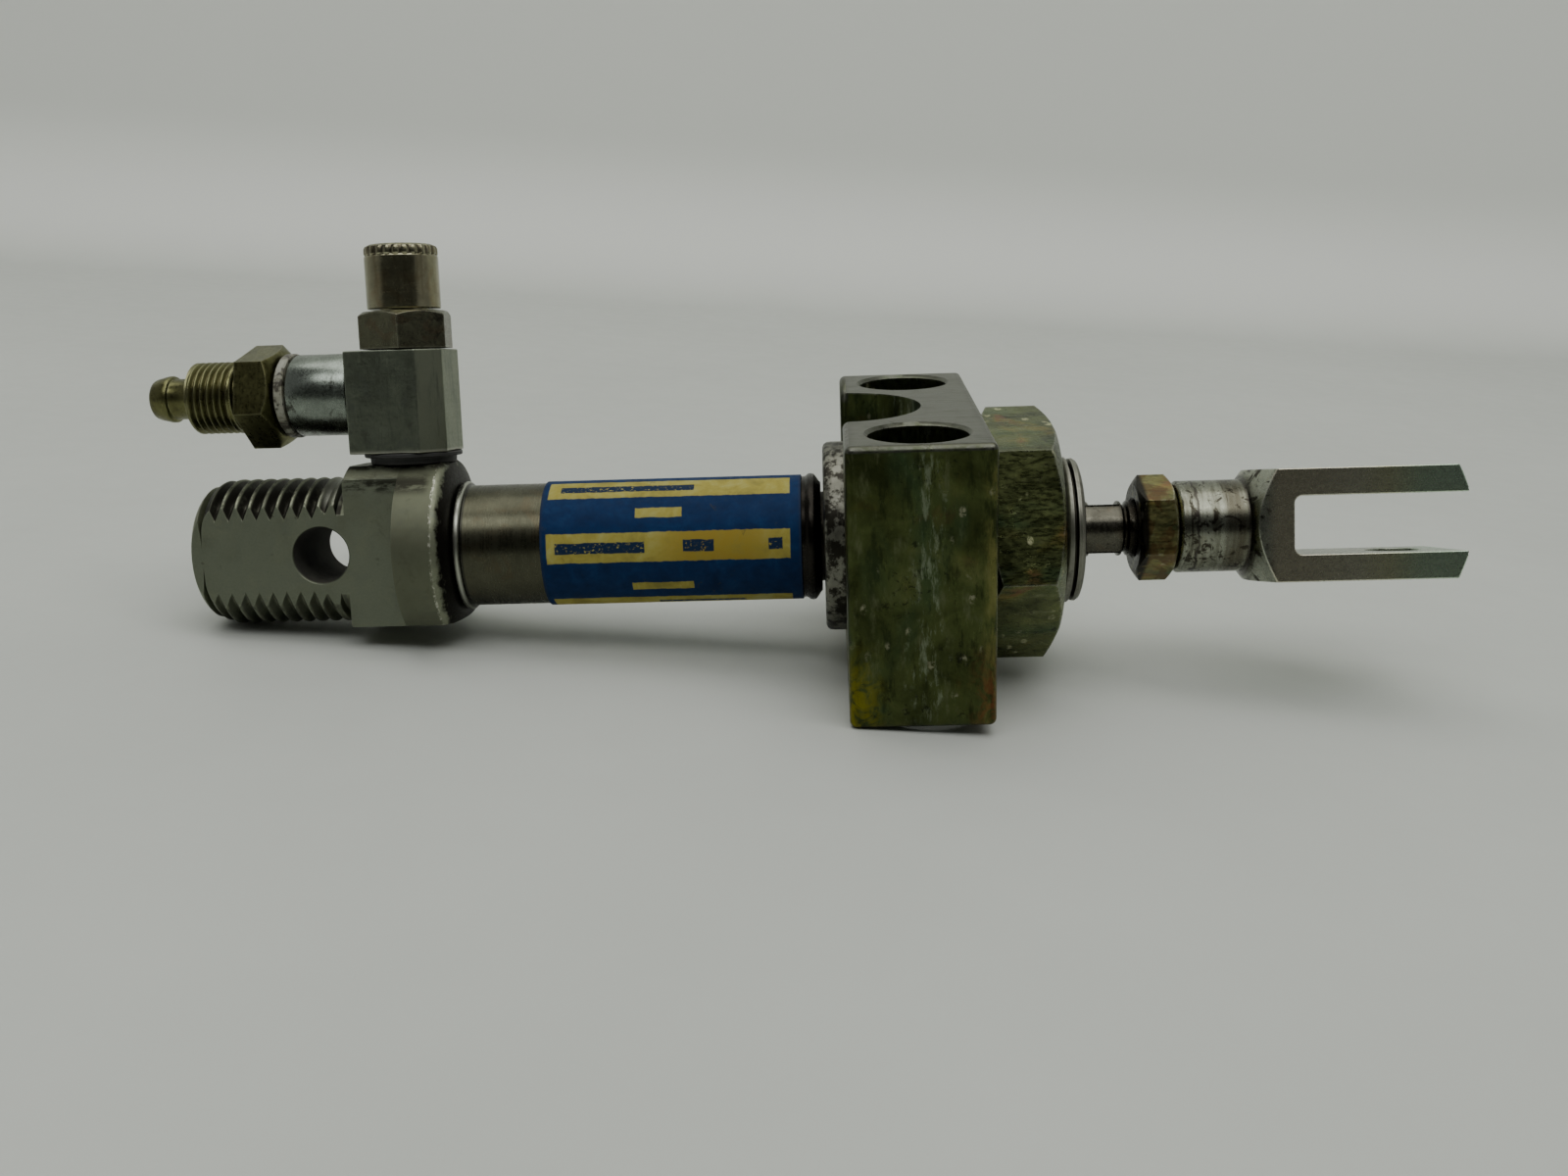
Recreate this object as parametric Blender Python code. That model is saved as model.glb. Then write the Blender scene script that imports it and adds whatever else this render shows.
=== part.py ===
"""Miniature pneumatic cylinder, 12 mm bore and 10 mm stroke, single acting with spring return.

The front cap is clamped in a rectangular foot block by a locknut, a rod clevis sits on the rod,
and the rear port carries a banjo air connection with a small exhaust silencer on its top.
Lengths below are in millimetres. X runs along the cylinder towards the rod, Z is up, and the
origin is the centre of the foot block's bottom face.
"""
import math

import bmesh
import bpy
from mathutils import Matrix, Vector

MM = 0.001

# ---- where things stand --------------------------------------------------------------------
AXIS_HEIGHT = 14.3          # cylinder axis above the foot block's bottom face
SHIFT_X = 0.85              # block centre to the front cap's seat, along X
CYLINDER_ROLL = math.radians(-9.0)
FORK_ROLL = math.radians(-13.5)
LOCKNUT_ROLL = math.radians(-21.5)
JAM_NUT_ROLL = math.radians(-15.0)
FITTING_HEX_ROLL = math.radians(-20.7)
SWIVEL_TURN = math.radians(-5.5)           # rest angle of the air connection about its screw
SILENCER_HEX_TURN = math.radians(36.0)

# ---- standard sizes ------------------------------------------------------------------------
CAP_THREAD_R, CAP_PITCH = 8.0, 1.5        # M16 x 1.5 on both caps
ROD_R = 3.0                               # 6 mm rod with an M6 end
BORE_R, BARREL_R = 6.0, 6.65
LOCKNUT_AF, JAM_NUT_AF = 24.0, 10.0
EYE_HOLE_R, CLEVIS_HOLE_R = 3.0, 3.0
GAP = 0.3                                 # clearance between touching pieces

# ---- stations along the cylinder, from the front cap's seat ---------------------------------
BLOCK_X0, BLOCK_X1 = -8.13, 6.44
BLOCK_HALF_Y, BLOCK_HALF_Z = 21.0, 14.3
BLOCK_HOLE_R, BLOCK_HOLE_X, BLOCK_HOLE_Y = 5.0, -0.8, 14.7
NOTCH_R, NOTCH_Z0, POCKET_R, WALL_BORE_R = 8.5, 3.3, 10.75, 8.3
LOCKNUT_X0, LOCKNUT_X1 = 6.74, 14.5
CAP_NOSE_X = 17.2
COLLAR_X0, COLLAR_R = -10.3, 10.35
POCKET_STEP_X, SLEEVE_R = -5.9, 8.8
REAR_END_X, REAR_ROUND_X, REAR_SHOULDER_X, REAR_FACE_X = -78.8, -75.4, -61.6, -51.55
SHOULDER_R, SHOULDER_FOOT_Z, REAR_CONE_X = 10.0, -7.9, -50.2
EYE_X, EYE_HALF, EYE_FLAT_X1 = -64.4, 6.0, -55.6
PORT_X, PORT_SEAT_Z, PORT_SEAT_X1, SPOT_FACE_R = -55.3, 9.3, -51.6, 4.8
JAM_NUT_X0, JAM_NUT_X1 = 23.4, 27.4
CLEVIS_X0, CLEVIS_NECK_X1, CLEVIS_X1, CLEVIS_ROOT_X = 27.7, 35.0, 57.2, 39.2
CLEVIS_HALF, SLOT_HALF, CLEVIS_PIN_X = 6.0, 3.1, 51.5

ROUND = 32                                # segments of the large round pieces
SMALL = 20                                # segments of the small ones


# ---- building tools ------------------------------------------------------------------------
def clear_scene():
    for item in list(bpy.data.objects):
        bpy.data.objects.remove(item, do_unlink=True)


def finish(name, bm, material=None):
    """Turn a bmesh into a named object with outward normals and smooth round faces."""
    bmesh.ops.remove_doubles(bm, verts=bm.verts, dist=1e-7)
    bmesh.ops.recalc_face_normals(bm, faces=bm.faces)
    mesh = bpy.data.meshes.new(name)
    bm.to_mesh(mesh)
    bm.free()
    mesh.shade_smooth()
    mesh.set_sharp_from_angle(angle=math.radians(30.0))
    obj = bpy.data.objects.new(name, mesh)
    bpy.context.scene.collection.objects.link(obj)
    if material:
        mesh.materials.append(material)
    return obj


def paint(name, colour, roughness, metallic):
    mat = bpy.data.materials.new(name)
    mat.use_nodes = True
    shader = mat.node_tree.nodes["Principled BSDF"]
    shader.inputs["Base Color"].default_value = (*colour, 1.0)
    shader.inputs["Roughness"].default_value = roughness
    shader.inputs["Metallic"].default_value = metallic
    return mat


def turned(name, profile, material=None, segments=ROUND, axis="X"):
    """Closed turned body: profile is (station, radius) pairs, a loop when it has a bore."""
    bm = bmesh.new()
    points = [Vector((s * MM, 0.0, r * MM)) for s, r in profile]
    verts = [bm.verts.new(p) for p in points]
    solid = profile[0][1] == 0.0
    edges = [bm.edges.new((a, b)) for a, b in zip(verts, verts[1:])]
    if not solid:
        edges.append(bm.edges.new((verts[-1], verts[0])))
    bmesh.ops.spin(bm, geom=verts + edges, cent=(0, 0, 0), axis=(1, 0, 0),
                   angle=2.0 * math.pi, steps=segments, use_merge=True)
    if axis == "Z":
        bmesh.ops.rotate(bm, verts=bm.verts, cent=(0, 0, 0),
                         matrix=Matrix.Rotation(-math.pi / 2.0, 3, "Y"))
    return finish(name, bm, material)


def box(name, low, high, material=None):
    bm = bmesh.new()
    bmesh.ops.create_cube(bm, size=1.0)
    size = [(b - a) * MM for a, b in zip(low, high)]
    centre = [(a + b) / 2.0 * MM for a, b in zip(low, high)]
    bmesh.ops.scale(bm, verts=bm.verts, vec=size)
    bmesh.ops.translate(bm, verts=bm.verts, vec=centre)
    return finish(name, bm, material)


def prism(name, outline, axis, low, high, material=None):
    """Straight prism over an outline; the outline lies in the plane square to the axis."""
    order = {"X": (1, 2, 0), "Y": (0, 2, 1), "Z": (0, 1, 2)}[axis]
    bm = bmesh.new()
    verts = []
    for u, v in outline:
        point = [0.0, 0.0, 0.0]
        point[order[0]], point[order[1]], point[order[2]] = u * MM, v * MM, low * MM
        verts.append(bm.verts.new(point))
    face = bm.faces.new(verts)
    shift = [0.0, 0.0, 0.0]
    shift[order[2]] = (high - low) * MM
    top = bmesh.ops.extrude_face_region(bm, geom=[face])["geom"]
    bmesh.ops.translate(bm, verts=[g for g in top if isinstance(g, bmesh.types.BMVert)], vec=shift)
    return finish(name, bm, material)


def hexagon(across_flats, turn=0.0):
    """Corners of a hexagon whose first flat faces the turn direction."""
    corner = across_flats / math.sqrt(3.0)
    return [(corner * math.cos(turn + math.radians(30.0 + 60.0 * k)),
             corner * math.sin(turn + math.radians(30.0 + 60.0 * k))) for k in range(6)]


def rod_shape(radius, low, high, axis, centre=(0.0, 0.0, 0.0), segments=SMALL):
    """Plain round bar used to bore holes."""
    bar = turned("cutter", [(low, 0.0), (low, radius), (high, radius), (high, 0.0)], None, segments)
    turn = {"X": Matrix.Identity(4), "Y": Matrix.Rotation(math.pi / 2.0, 4, "Z"),
            "Z": Matrix.Rotation(-math.pi / 2.0, 4, "Y")}[axis]
    bar.data.transform(Matrix.Translation([c * MM for c in centre]) @ turn)
    return bar


def combine(obj, tool, operation="DIFFERENCE"):
    """Exact boolean, applied at once; the tool is removed afterwards."""
    tool.hide_render = True
    tool.display_type = "WIRE"
    mod = obj.modifiers.new("cut", "BOOLEAN")
    mod.operation, mod.solver, mod.object = operation, "EXACT", tool
    graph = bpy.context.evaluated_depsgraph_get()
    graph.update()
    result = bpy.data.meshes.new_from_object(obj.evaluated_get(graph))
    obj.modifiers.clear()
    old = obj.data
    obj.data = result
    bpy.data.meshes.remove(old)
    bpy.data.objects.remove(tool, do_unlink=True)
    obj.data.name = obj.name
    obj.data.shade_smooth()
    obj.data.set_sharp_from_angle(angle=math.radians(30.0))
    return obj


def thread(start, end, major, pitch, root):
    """Profile points of ring grooves between two stations, starting and ending on the crest."""
    count = int((end - start) / pitch)
    points = []
    for k in range(count):
        s = start + k * pitch
        points += [(s, major), (s + 0.15 * pitch, major), (s + 0.5 * pitch, root),
                   (s + 0.85 * pitch, major)]
    return points


def circle(radius, steps=7, start=0.0, end=math.pi / 2.0):
    return [(radius * math.cos(start + (end - start) * k / steps),
             radius * math.sin(start + (end - start) * k / steps)) for k in range(steps + 1)]


def place(obj, parent, roll=0.0):
    obj.parent = parent
    obj.rotation_euler = (roll, 0.0, 0.0)
    return obj


def axis_empty(name, location, parent=None, rotation=(0.0, 0.0, 0.0)):
    empty = bpy.data.objects.new(name, None)
    bpy.context.scene.collection.objects.link(empty)
    empty.empty_display_size = 0.01
    empty.location = [c * MM for c in location]
    empty.rotation_euler = rotation
    empty.parent = parent
    return empty


clear_scene()

# ---- materials -----------------------------------------------------------------------------
ZINC_YELLOW = paint("zinc_yellow", (0.34, 0.34, 0.25), 0.38, 1.0)
NUT_ZINC = paint("nut_zinc", (0.36, 0.34, 0.24), 0.35, 1.0)
BARREL_STEEL = paint("barrel_steel", (0.42, 0.40, 0.36), 0.36, 1.0)
LABEL_BLUE = paint("label_blue", (0.02, 0.06, 0.20), 0.35, 0.0)
CAP_REAR = paint("cap_rear_aluminium", (0.38, 0.39, 0.36), 0.5, 1.0)
CAP_FRONT = paint("cap_front_aluminium", (0.50, 0.50, 0.47), 0.45, 1.0)
BRONZE = paint("bush_bronze", (0.45, 0.32, 0.16), 0.45, 1.0)
RUBBER = paint("seal_rubber", (0.02, 0.02, 0.02), 0.7, 0.0)
BUFFER = paint("buffer_polyurethane", (0.20, 0.10, 0.05), 0.6, 0.0)
PISTON = paint("piston_aluminium", (0.60, 0.60, 0.58), 0.4, 1.0)
GUIDE = paint("guide_acetal", (0.85, 0.84, 0.80), 0.5, 0.0)
ROD_STEEL = paint("rod_steel", (0.48, 0.46, 0.41), 0.25, 1.0)
SPRING = paint("spring_steel", (0.35, 0.35, 0.36), 0.35, 1.0)
CLEVIS = paint("clevis_zinc", (0.52, 0.53, 0.54), 0.3, 1.0)
JAM = paint("jam_nut_zinc", (0.38, 0.35, 0.26), 0.35, 1.0)
VALVE = paint("valve_nickel", (0.30, 0.31, 0.30), 0.35, 1.0)
NECK = paint("neck_nickel", (0.50, 0.52, 0.56), 0.28, 1.0)
SCREW = paint("hollow_screw_brass", (0.55, 0.47, 0.34), 0.3, 1.0)
SILENCER = paint("silencer_nickel", (0.56, 0.50, 0.40), 0.28, 1.0)
SINTER = paint("sintered_bronze", (0.34, 0.27, 0.16), 0.7, 1.0)
HOSE_BRASS = paint("hose_fitting_brass", (0.50, 0.44, 0.24), 0.33, 1.0)
RING = paint("ring_plastic", (0.62, 0.62, 0.56), 0.5, 0.0)

# ---- axes ----------------------------------------------------------------------------------
cylinder = axis_empty("cylinder_axis", (SHIFT_X, 0.0, AXIS_HEIGHT))
rolled = axis_empty("cylinder_rolled", (0, 0, 0), cylinder, (CYLINDER_ROLL, 0.0, 0.0))
piston_slide = axis_empty("piston_slide", (0, 0, 0), cylinder)
rod_axis = axis_empty("rod_turn_axis", (0, 0, 0), piston_slide)
port = axis_empty("port_axis", (PORT_X, 0, 0), rolled)

# ---- barrel and its label ------------------------------------------------------------------
place(turned("barrel", [
    (-49.9, 6.9), (-49.75, 7.1), (-49.35, 7.1), (-49.1, BARREL_R), (-12.1, BARREL_R),
    (-11.9, 6.95), (-11.4, 6.95), (-10.6, 5.9), (-10.8, 5.3), (-11.7, BORE_R),
    (-49.9, BORE_R)], BARREL_STEEL), cylinder)
place(turned("type_label", [(-40.6, 6.76), (-40.6, 6.94), (-12.7, 6.94), (-12.7, 6.76)],
             LABEL_BLUE), cylinder)

# ---- rear cap: threaded eye, shoulder, spigot, port and air passage --------------------------
ROUND_R = 3.4
rear_profile = [(REAR_END_X, 0.0)]
rear_profile += [(REAR_ROUND_X - v, CAP_THREAD_R - ROUND_R + u)
                 for u, v in reversed(circle(ROUND_R, 5))]
rear_profile += thread(REAR_ROUND_X + 0.4, REAR_SHOULDER_X - 0.8, CAP_THREAD_R, CAP_PITCH, 7.25)
rear_profile += [(REAR_SHOULDER_X - 1.0, 7.3), (REAR_SHOULDER_X, 7.3), (REAR_SHOULDER_X, 9.6),
                 (REAR_SHOULDER_X + 0.4, SHOULDER_R), (REAR_FACE_X, SHOULDER_R),
                 (REAR_FACE_X + 0.8, 9.4), (REAR_CONE_X, 7.4), (REAR_CONE_X, 5.75), (-48.2, 5.75),
                 (-48.2, 4.6), (-46.8, 4.6), (-46.8, 5.75), (-45.2, 5.75), (-45.2, 0.0)]
rear = turned("rear_cap", rear_profile, CAP_REAR)
for side in (-1.0, 1.0):
    low, high = sorted((side * EYE_HALF, side * 14.0))
    combine(rear, box("cutter", (REAR_END_X - 2.0, low, -14.0), (EYE_FLAT_X1, high, 14.0)))
combine(rear, box("cutter", (REAR_SHOULDER_X - 0.5, -9.0, PORT_SEAT_Z), (PORT_SEAT_X1, 9.0, 14.0)))
combine(rear, rod_shape(SPOT_FACE_R, PORT_SEAT_Z, 12.0, "Z", (PORT_X, 0.0, 0.0), ROUND))
combine(rear, box("cutter", (REAR_SHOULDER_X - 0.5, -9.0, -14.0), (-49.0, 9.0, SHOULDER_FOOT_Z)))
combine(rear, rod_shape(EYE_HOLE_R, -9.0, 9.0, "Y", (EYE_X, 0.0, 0.0)))
combine(rear, rod_shape(2.8, 1.0, 12.0, "Z", (PORT_X, 0.0, 0.0)))
combine(rear, rod_shape(1.25, -57.0, -43.0, "X", (0.0, 0.0, 2.3), 16))
place(rear, rolled)

# ---- front cap: collar, spigot, nose thread and rod bore -------------------------------------
place(turned("front_cap", [
    (-16.5, 4.5), (-16.5, 5.75), (-15.2, 5.75), (-15.2, 4.9), (-13.8, 4.9), (-13.8, 5.75),
    (-12.4, 5.75), (-11.8, 4.9), (COLLAR_X0, 4.9), (COLLAR_X0, 9.9), (COLLAR_X0 + 0.45, COLLAR_R),
    (POCKET_STEP_X - GAP, COLLAR_R), (POCKET_STEP_X - GAP, SLEEVE_R), (-GAP, SLEEVE_R),
    (-GAP, 7.3), (1.0, 7.3), (1.4, CAP_THREAD_R),
    *thread(12.8, 15.8, CAP_THREAD_R, CAP_PITCH, 7.25), (15.9, 7.2), (16.2, 7.2),
    (16.4, 7.5), (CAP_NOSE_X, 7.0), (CAP_NOSE_X, 5.3), (13.4, 5.3), (13.4, 4.5)],
    CAP_FRONT), rolled)
place(turned("rod_bearing_bush", [(-16.0, 3.06), (-16.0, 4.2), (13.0, 4.2), (13.0, 3.06)],
             BRONZE, SMALL), cylinder)
place(turned("rod_wiper", [(13.7, 3.2), (13.7, 5.0), (16.6, 5.0), (16.9, 3.2)],
             RUBBER, SMALL), cylinder)
place(turned("rear_cap_oring", [(-47.9, 4.9), (-47.9, 5.5), (-47.5, 5.8), (-47.1, 5.5),
                                (-47.1, 4.9)], RUBBER, SMALL), cylinder)
place(turned("front_cap_oring", [(-14.9, 5.2), (-14.9, 5.5), (-14.5, 5.8), (-14.1, 5.5),
                                 (-14.1, 5.2)], RUBBER, SMALL), cylinder)
place(turned("rear_buffer", [(-44.9, 2.6), (-44.9, 5.2), (-43.9, 5.2), (-43.9, 2.6)],
             BUFFER, SMALL), cylinder)
place(turned("front_buffer", [(-17.9, 3.3), (-17.9, 4.4), (-16.8, 4.4), (-16.8, 3.3)],
             BUFFER, SMALL), cylinder)

# ---- piston, seals and rod -------------------------------------------------------------------
PISTON_X0, PISTON_X1 = -43.6, -36.6
place(turned("piston", [
    (PISTON_X0, 0.0), (PISTON_X0, 5.3), (PISTON_X0 + 0.4, 5.7), (-42.2, 5.7), (-42.2, 4.3),
    (-40.6, 4.3), (-40.6, 5.7), (-39.9, 5.7), (-39.9, 5.0), (-37.7, 5.0), (-37.7, 5.7),
    (PISTON_X1, 5.7), (PISTON_X1, 0.0)], PISTON), rod_axis)
place(turned("piston_seal", [(-42.0, 4.36), (-42.0, 5.75), (-41.4, 5.94), (-40.8, 5.75),
                             (-40.8, 4.36)], RUBBER), piston_slide)
place(turned("piston_guide_ring", [(-39.75, 5.06), (-39.75, 5.94), (-37.85, 5.94),
                                   (-37.85, 5.06)], GUIDE), piston_slide)

rod_profile = [(PISTON_X1 + GAP, 0.0), (PISTON_X1 + GAP, ROD_R), (21.9, ROD_R), (22.2, 2.6),
               (22.5, ROD_R), (37.4, ROD_R), (37.9, 2.5), (37.9, 0.0)]
rod = turned("piston_rod", rod_profile, ROD_STEEL, SMALL)
FLAT_X0, FLAT_X1, FLAT_HALF = 18.4, 21.6, 2.5
for side in (-1.0, 1.0):
    low, high = sorted((side * FLAT_HALF, side * 4.0))
    combine(rod, box("cutter", (FLAT_X0, -4.0, low), (FLAT_X1, 4.0, high)))
place(rod, rod_axis, FORK_ROLL)

# ---- return spring ---------------------------------------------------------------------------
SPRING_X0, SPRING_X1, COIL_R, WIRE_R, COILS = -35.7, -17.1, 5.0, 0.45, 7
curve = bpy.data.curves.new("return_spring", "CURVE")
curve.dimensions = "3D"
curve.bevel_depth = WIRE_R * MM
curve.bevel_resolution = 0
curve.use_fill_caps = True
STEPS = 16
line = curve.splines.new("POLY")
line.points.add(COILS * STEPS)
for k, point in enumerate(line.points):
    turn = 2.0 * math.pi * k / STEPS
    station = SPRING_X0 + WIRE_R + (SPRING_X1 - SPRING_X0 - 2.0 * WIRE_R) * k / (COILS * STEPS)
    point.co = (station * MM, COIL_R * MM * math.cos(turn), COIL_R * MM * math.sin(turn), 1.0)
wire = bpy.data.objects.new("spring_wire", curve)
bpy.context.scene.collection.objects.link(wire)
evaluated = wire.evaluated_get(bpy.context.evaluated_depsgraph_get())
bm = bmesh.new()
bm.from_mesh(bpy.data.meshes.new_from_object(evaluated))
bpy.data.objects.remove(wire, do_unlink=True)
place(finish("return_spring", bm, SPRING), cylinder)

# ---- foot block and locknut ------------------------------------------------------------------
EDGE = 0.35
block = prism("mounting_block", [
    (-BLOCK_HALF_Y + EDGE, -BLOCK_HALF_Z), (BLOCK_HALF_Y - EDGE, -BLOCK_HALF_Z),
    (BLOCK_HALF_Y, -BLOCK_HALF_Z + EDGE), (BLOCK_HALF_Y, BLOCK_HALF_Z - EDGE),
    (BLOCK_HALF_Y - EDGE, BLOCK_HALF_Z), (-BLOCK_HALF_Y + EDGE, BLOCK_HALF_Z),
    (-BLOCK_HALF_Y, BLOCK_HALF_Z - EDGE), (-BLOCK_HALF_Y, -BLOCK_HALF_Z + EDGE)],
    "X", BLOCK_X0, BLOCK_X1, ZINC_YELLOW)
combine(block, turned("cutter", [
    (BLOCK_X0 - 2.0, 0.0), (BLOCK_X0 - 2.0, POCKET_R), (POCKET_STEP_X, POCKET_R),
    (POCKET_STEP_X, SLEEVE_R + GAP), (0.0, SLEEVE_R + GAP), (0.0, WALL_BORE_R),
    (BLOCK_X1 + 2.0, WALL_BORE_R), (BLOCK_X1 + 2.0, 0.0)]))
combine(block, rod_shape(NOTCH_R, NOTCH_Z0, BLOCK_HALF_Z + 2.0, "Z", (BLOCK_X0, 0.0, 0.0), ROUND))
HOLE_CHAMFER = 0.5
for side in (-1.0, 1.0):
    drill = turned("cutter", [
        (-BLOCK_HALF_Z - 1.0, 0.0), (-BLOCK_HALF_Z - 1.0, BLOCK_HOLE_R + HOLE_CHAMFER + 1.0),
        (-BLOCK_HALF_Z + HOLE_CHAMFER, BLOCK_HOLE_R), (BLOCK_HALF_Z - HOLE_CHAMFER, BLOCK_HOLE_R),
        (BLOCK_HALF_Z + 1.0, BLOCK_HOLE_R + HOLE_CHAMFER + 1.0), (BLOCK_HALF_Z + 1.0, 0.0)],
        None, 32, "Z")
    drill.data.transform(Matrix.Translation((BLOCK_HOLE_X * MM, side * BLOCK_HOLE_Y * MM, 0.0)))
    combine(block, drill)
place(block, cylinder)


def hex_nut(name, across_flats, bore_r, x0, x1, material, turn, end_r):
    """Hexagon nut along X with both end faces chamfered at 30 degrees."""
    corner = across_flats / math.sqrt(3.0)
    body = prism(name, hexagon(across_flats), "X", x0, x1, material)
    rise = (corner + 0.1 - end_r) * math.tan(math.radians(30.0))
    envelope = turned("cutter", [(x0, 0.0), (x0, end_r), (x0 + rise, corner + 0.1),
                                 (x1 - rise, corner + 0.1), (x1, end_r), (x1, 0.0)], None, ROUND)
    combine(body, envelope, "INTERSECT")
    combine(body, rod_shape(bore_r, x0 - 1.0, x1 + 1.0, "X", segments=ROUND))
    body.data.transform(Matrix.Rotation(turn, 4, "X"))
    return body


place(hex_nut("cap_locknut", LOCKNUT_AF, CAP_THREAD_R + GAP, LOCKNUT_X0, LOCKNUT_X1, NUT_ZINC,
              LOCKNUT_ROLL, 11.5), cylinder)

# ---- rod end: jam nut and clevis -------------------------------------------------------------
place(hex_nut("rod_jam_nut", JAM_NUT_AF, ROD_R + GAP, JAM_NUT_X0, JAM_NUT_X1, JAM, JAM_NUT_ROLL, 4.8),
      rod_axis)

CONE_R0, CONE_X1, CORNER_R, TIP_R = 5.4, 37.4, 8.49, 6.9
clevis = turned("rod_clevis", [
    (CLEVIS_X0, 0.0), (CLEVIS_X0, 4.6), (CLEVIS_X0 + 0.4, 5.0), (CLEVIS_NECK_X1, 5.0),
    (CLEVIS_NECK_X1, CONE_R0), (CONE_X1, CORNER_R), (CLEVIS_X1 - 1.0, CORNER_R),
    (CLEVIS_X1, TIP_R), (CLEVIS_X1, 0.0)], CLEVIS)
combine(clevis, box("cutter", (CLEVIS_X0 - 1.0, -CLEVIS_HALF, -CLEVIS_HALF),
                    (CLEVIS_X1 + 1.0, CLEVIS_HALF, CLEVIS_HALF)), "INTERSECT")
ROOT_R = 0.8
slot = [(CLEVIS_X1 + 2.0, -SLOT_HALF), (CLEVIS_X1 + 2.0, SLOT_HALF)]
slot += [(CLEVIS_ROOT_X + ROOT_R - v, SLOT_HALF - ROOT_R + u)
         for u, v in circle(ROOT_R, 4)]
slot += [(CLEVIS_ROOT_X + ROOT_R - v, -SLOT_HALF + ROOT_R - u)
         for u, v in reversed(circle(ROOT_R, 4))]
combine(clevis, prism("cutter", slot, "Y", -9.0, 9.0))
combine(clevis, rod_shape(ROD_R + GAP, CLEVIS_X0 - 1.0, CLEVIS_ROOT_X + 1.0, "X"))
combine(clevis, rod_shape(CLEVIS_HOLE_R, -9.0, 9.0, "Z", (CLEVIS_PIN_X, 0.0, 0.0)))
place(clevis, rod_axis, FORK_ROLL)

# ---- banjo air connection on the rear port ---------------------------------------------------
BODY_Z0, BODY_Z1, SCREW_R, BODY_BORE_R = 10.6, 21.6, 2.5, 2.9
SEAT_R, HEX_Z1, SILENCER_Z1 = 4.5, 25.7, 32.8
place(turned("port_washer", [(9.6, 2.9), (9.6, SEAT_R), (10.3, SEAT_R), (10.3, 2.9)],
             RUBBER, SMALL, "Z"), port)

valve = prism("valve_body", [(-5.3, -5.0), (2.6, -5.0), (4.8, -2.6), (4.8, 2.6), (2.6, 5.0),
                             (-5.3, 5.0)], "Z", BODY_Z0, BODY_Z1, VALVE)
combine(valve, rod_shape(BODY_BORE_R, BODY_Z0 - 1.0, BODY_Z1 + 1.0, "Z"))
NECK_Z = 17.0
combine(valve, rod_shape(1.5, -8.0, -1.0, "X", (0.0, 0.0, NECK_Z), 16))
place(valve, port)

screw = turned("hollow_screw", [
    (4.6, 1.2), (4.6, 2.3), (4.8, SCREW_R), (21.9, SCREW_R), (21.9, 6.0), (HEX_Z1, 6.0),
    (HEX_Z1, 2.9), (23.4, 2.9), (23.4, 1.2)], SCREW, SMALL, "Z")
head = prism("cutter", hexagon(9.1, SILENCER_HEX_TURN - math.pi / 2.0), "Z", 4.0, HEX_Z1 + 1.0)
combine(screw, head, "INTERSECT")
combine(screw, turned("cutter", [(0.0, 0.0), (0.0, 7.0), (HEX_Z1 - 1.0, 5.6), (HEX_Z1, 4.4),
                                 (HEX_Z1, 0.0)], None, 32, "Z"), "INTERSECT")
combine(screw, rod_shape(1.0, -3.0, 3.0, "X", (0.0, 0.0, NECK_Z), 12))
place(screw, port)

place(turned("silencer_body", [
    (23.7, 1.2), (23.7, 2.6), (26.0, 2.6), (26.0, 3.9), (31.6, 3.9), (31.6, 3.75), (31.8, 3.9),
    (32.6, 3.9), (SILENCER_Z1, 3.6), (SILENCER_Z1, 3.0), (26.6, 3.0), (26.6, 1.2)],
    SILENCER, SMALL, "Z"), port)
place(turned("silencer_insert", [(26.9, 0.0), (26.9, 2.7), (32.3, 2.7), (32.3, 0.0)],
             SINTER, SMALL, "Z"), port)

swivel = axis_empty("valve_swivel_axis", (0, 0, 0), port, (0.0, 0.0, SWIVEL_TURN))
valve.parent = swivel
neck_axis = axis_empty("neck_axis", (-PORT_X, 0, NECK_Z), swivel)
place(turned("valve_neck", [
    (-67.8, 3.1), (-67.8, 4.35), (-67.6, 4.45), (-61.1, 4.45), (-60.9, 4.2), (-60.9, 1.5),
    (-64.5, 1.5), (-64.5, 3.1)], NECK, SMALL), neck_axis)
place(turned("fitting_seal_ring", [(-69.0, 3.0), (-69.0, 4.6), (-68.1, 4.6), (-68.1, 3.0)],
             RING, SMALL), neck_axis)

HOSE_HEX_X1 = -69.3
hose = turned("hose_fitting", [
    (-84.7, 1.0), (-84.7, 1.9), (-83.6, 2.5), (-82.9, 2.5), (-82.5, 2.3), (-79.8, 2.3),
    (-79.6, 3.4), *thread(-79.4, -74.3, 3.9, 1.0, 3.4), (-74.2, 3.5), (-73.2, 3.5), (-73.2, 5.78),
    (HOSE_HEX_X1, 5.78), (HOSE_HEX_X1, 2.7), (-64.8, 2.7), (-64.8, 1.0)], HOSE_BRASS, SMALL)
combine(hose, prism("cutter", hexagon(10.0), "X", -86.0, -60.0), "INTERSECT")
combine(hose, turned("cutter", [(-90.0, 0.0), (-90.0, 7.0), (HOSE_HEX_X1 - 0.9, 5.9),
                                (HOSE_HEX_X1, 4.7), (-60.0, 4.7), (-60.0, 0.0)], None, 32),
        "INTERSECT")
place(hose, neck_axis, FITTING_HEX_ROLL - CYLINDER_ROLL)
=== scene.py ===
import math

import bmesh
import bpy
from mathutils import Matrix, Vector


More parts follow.
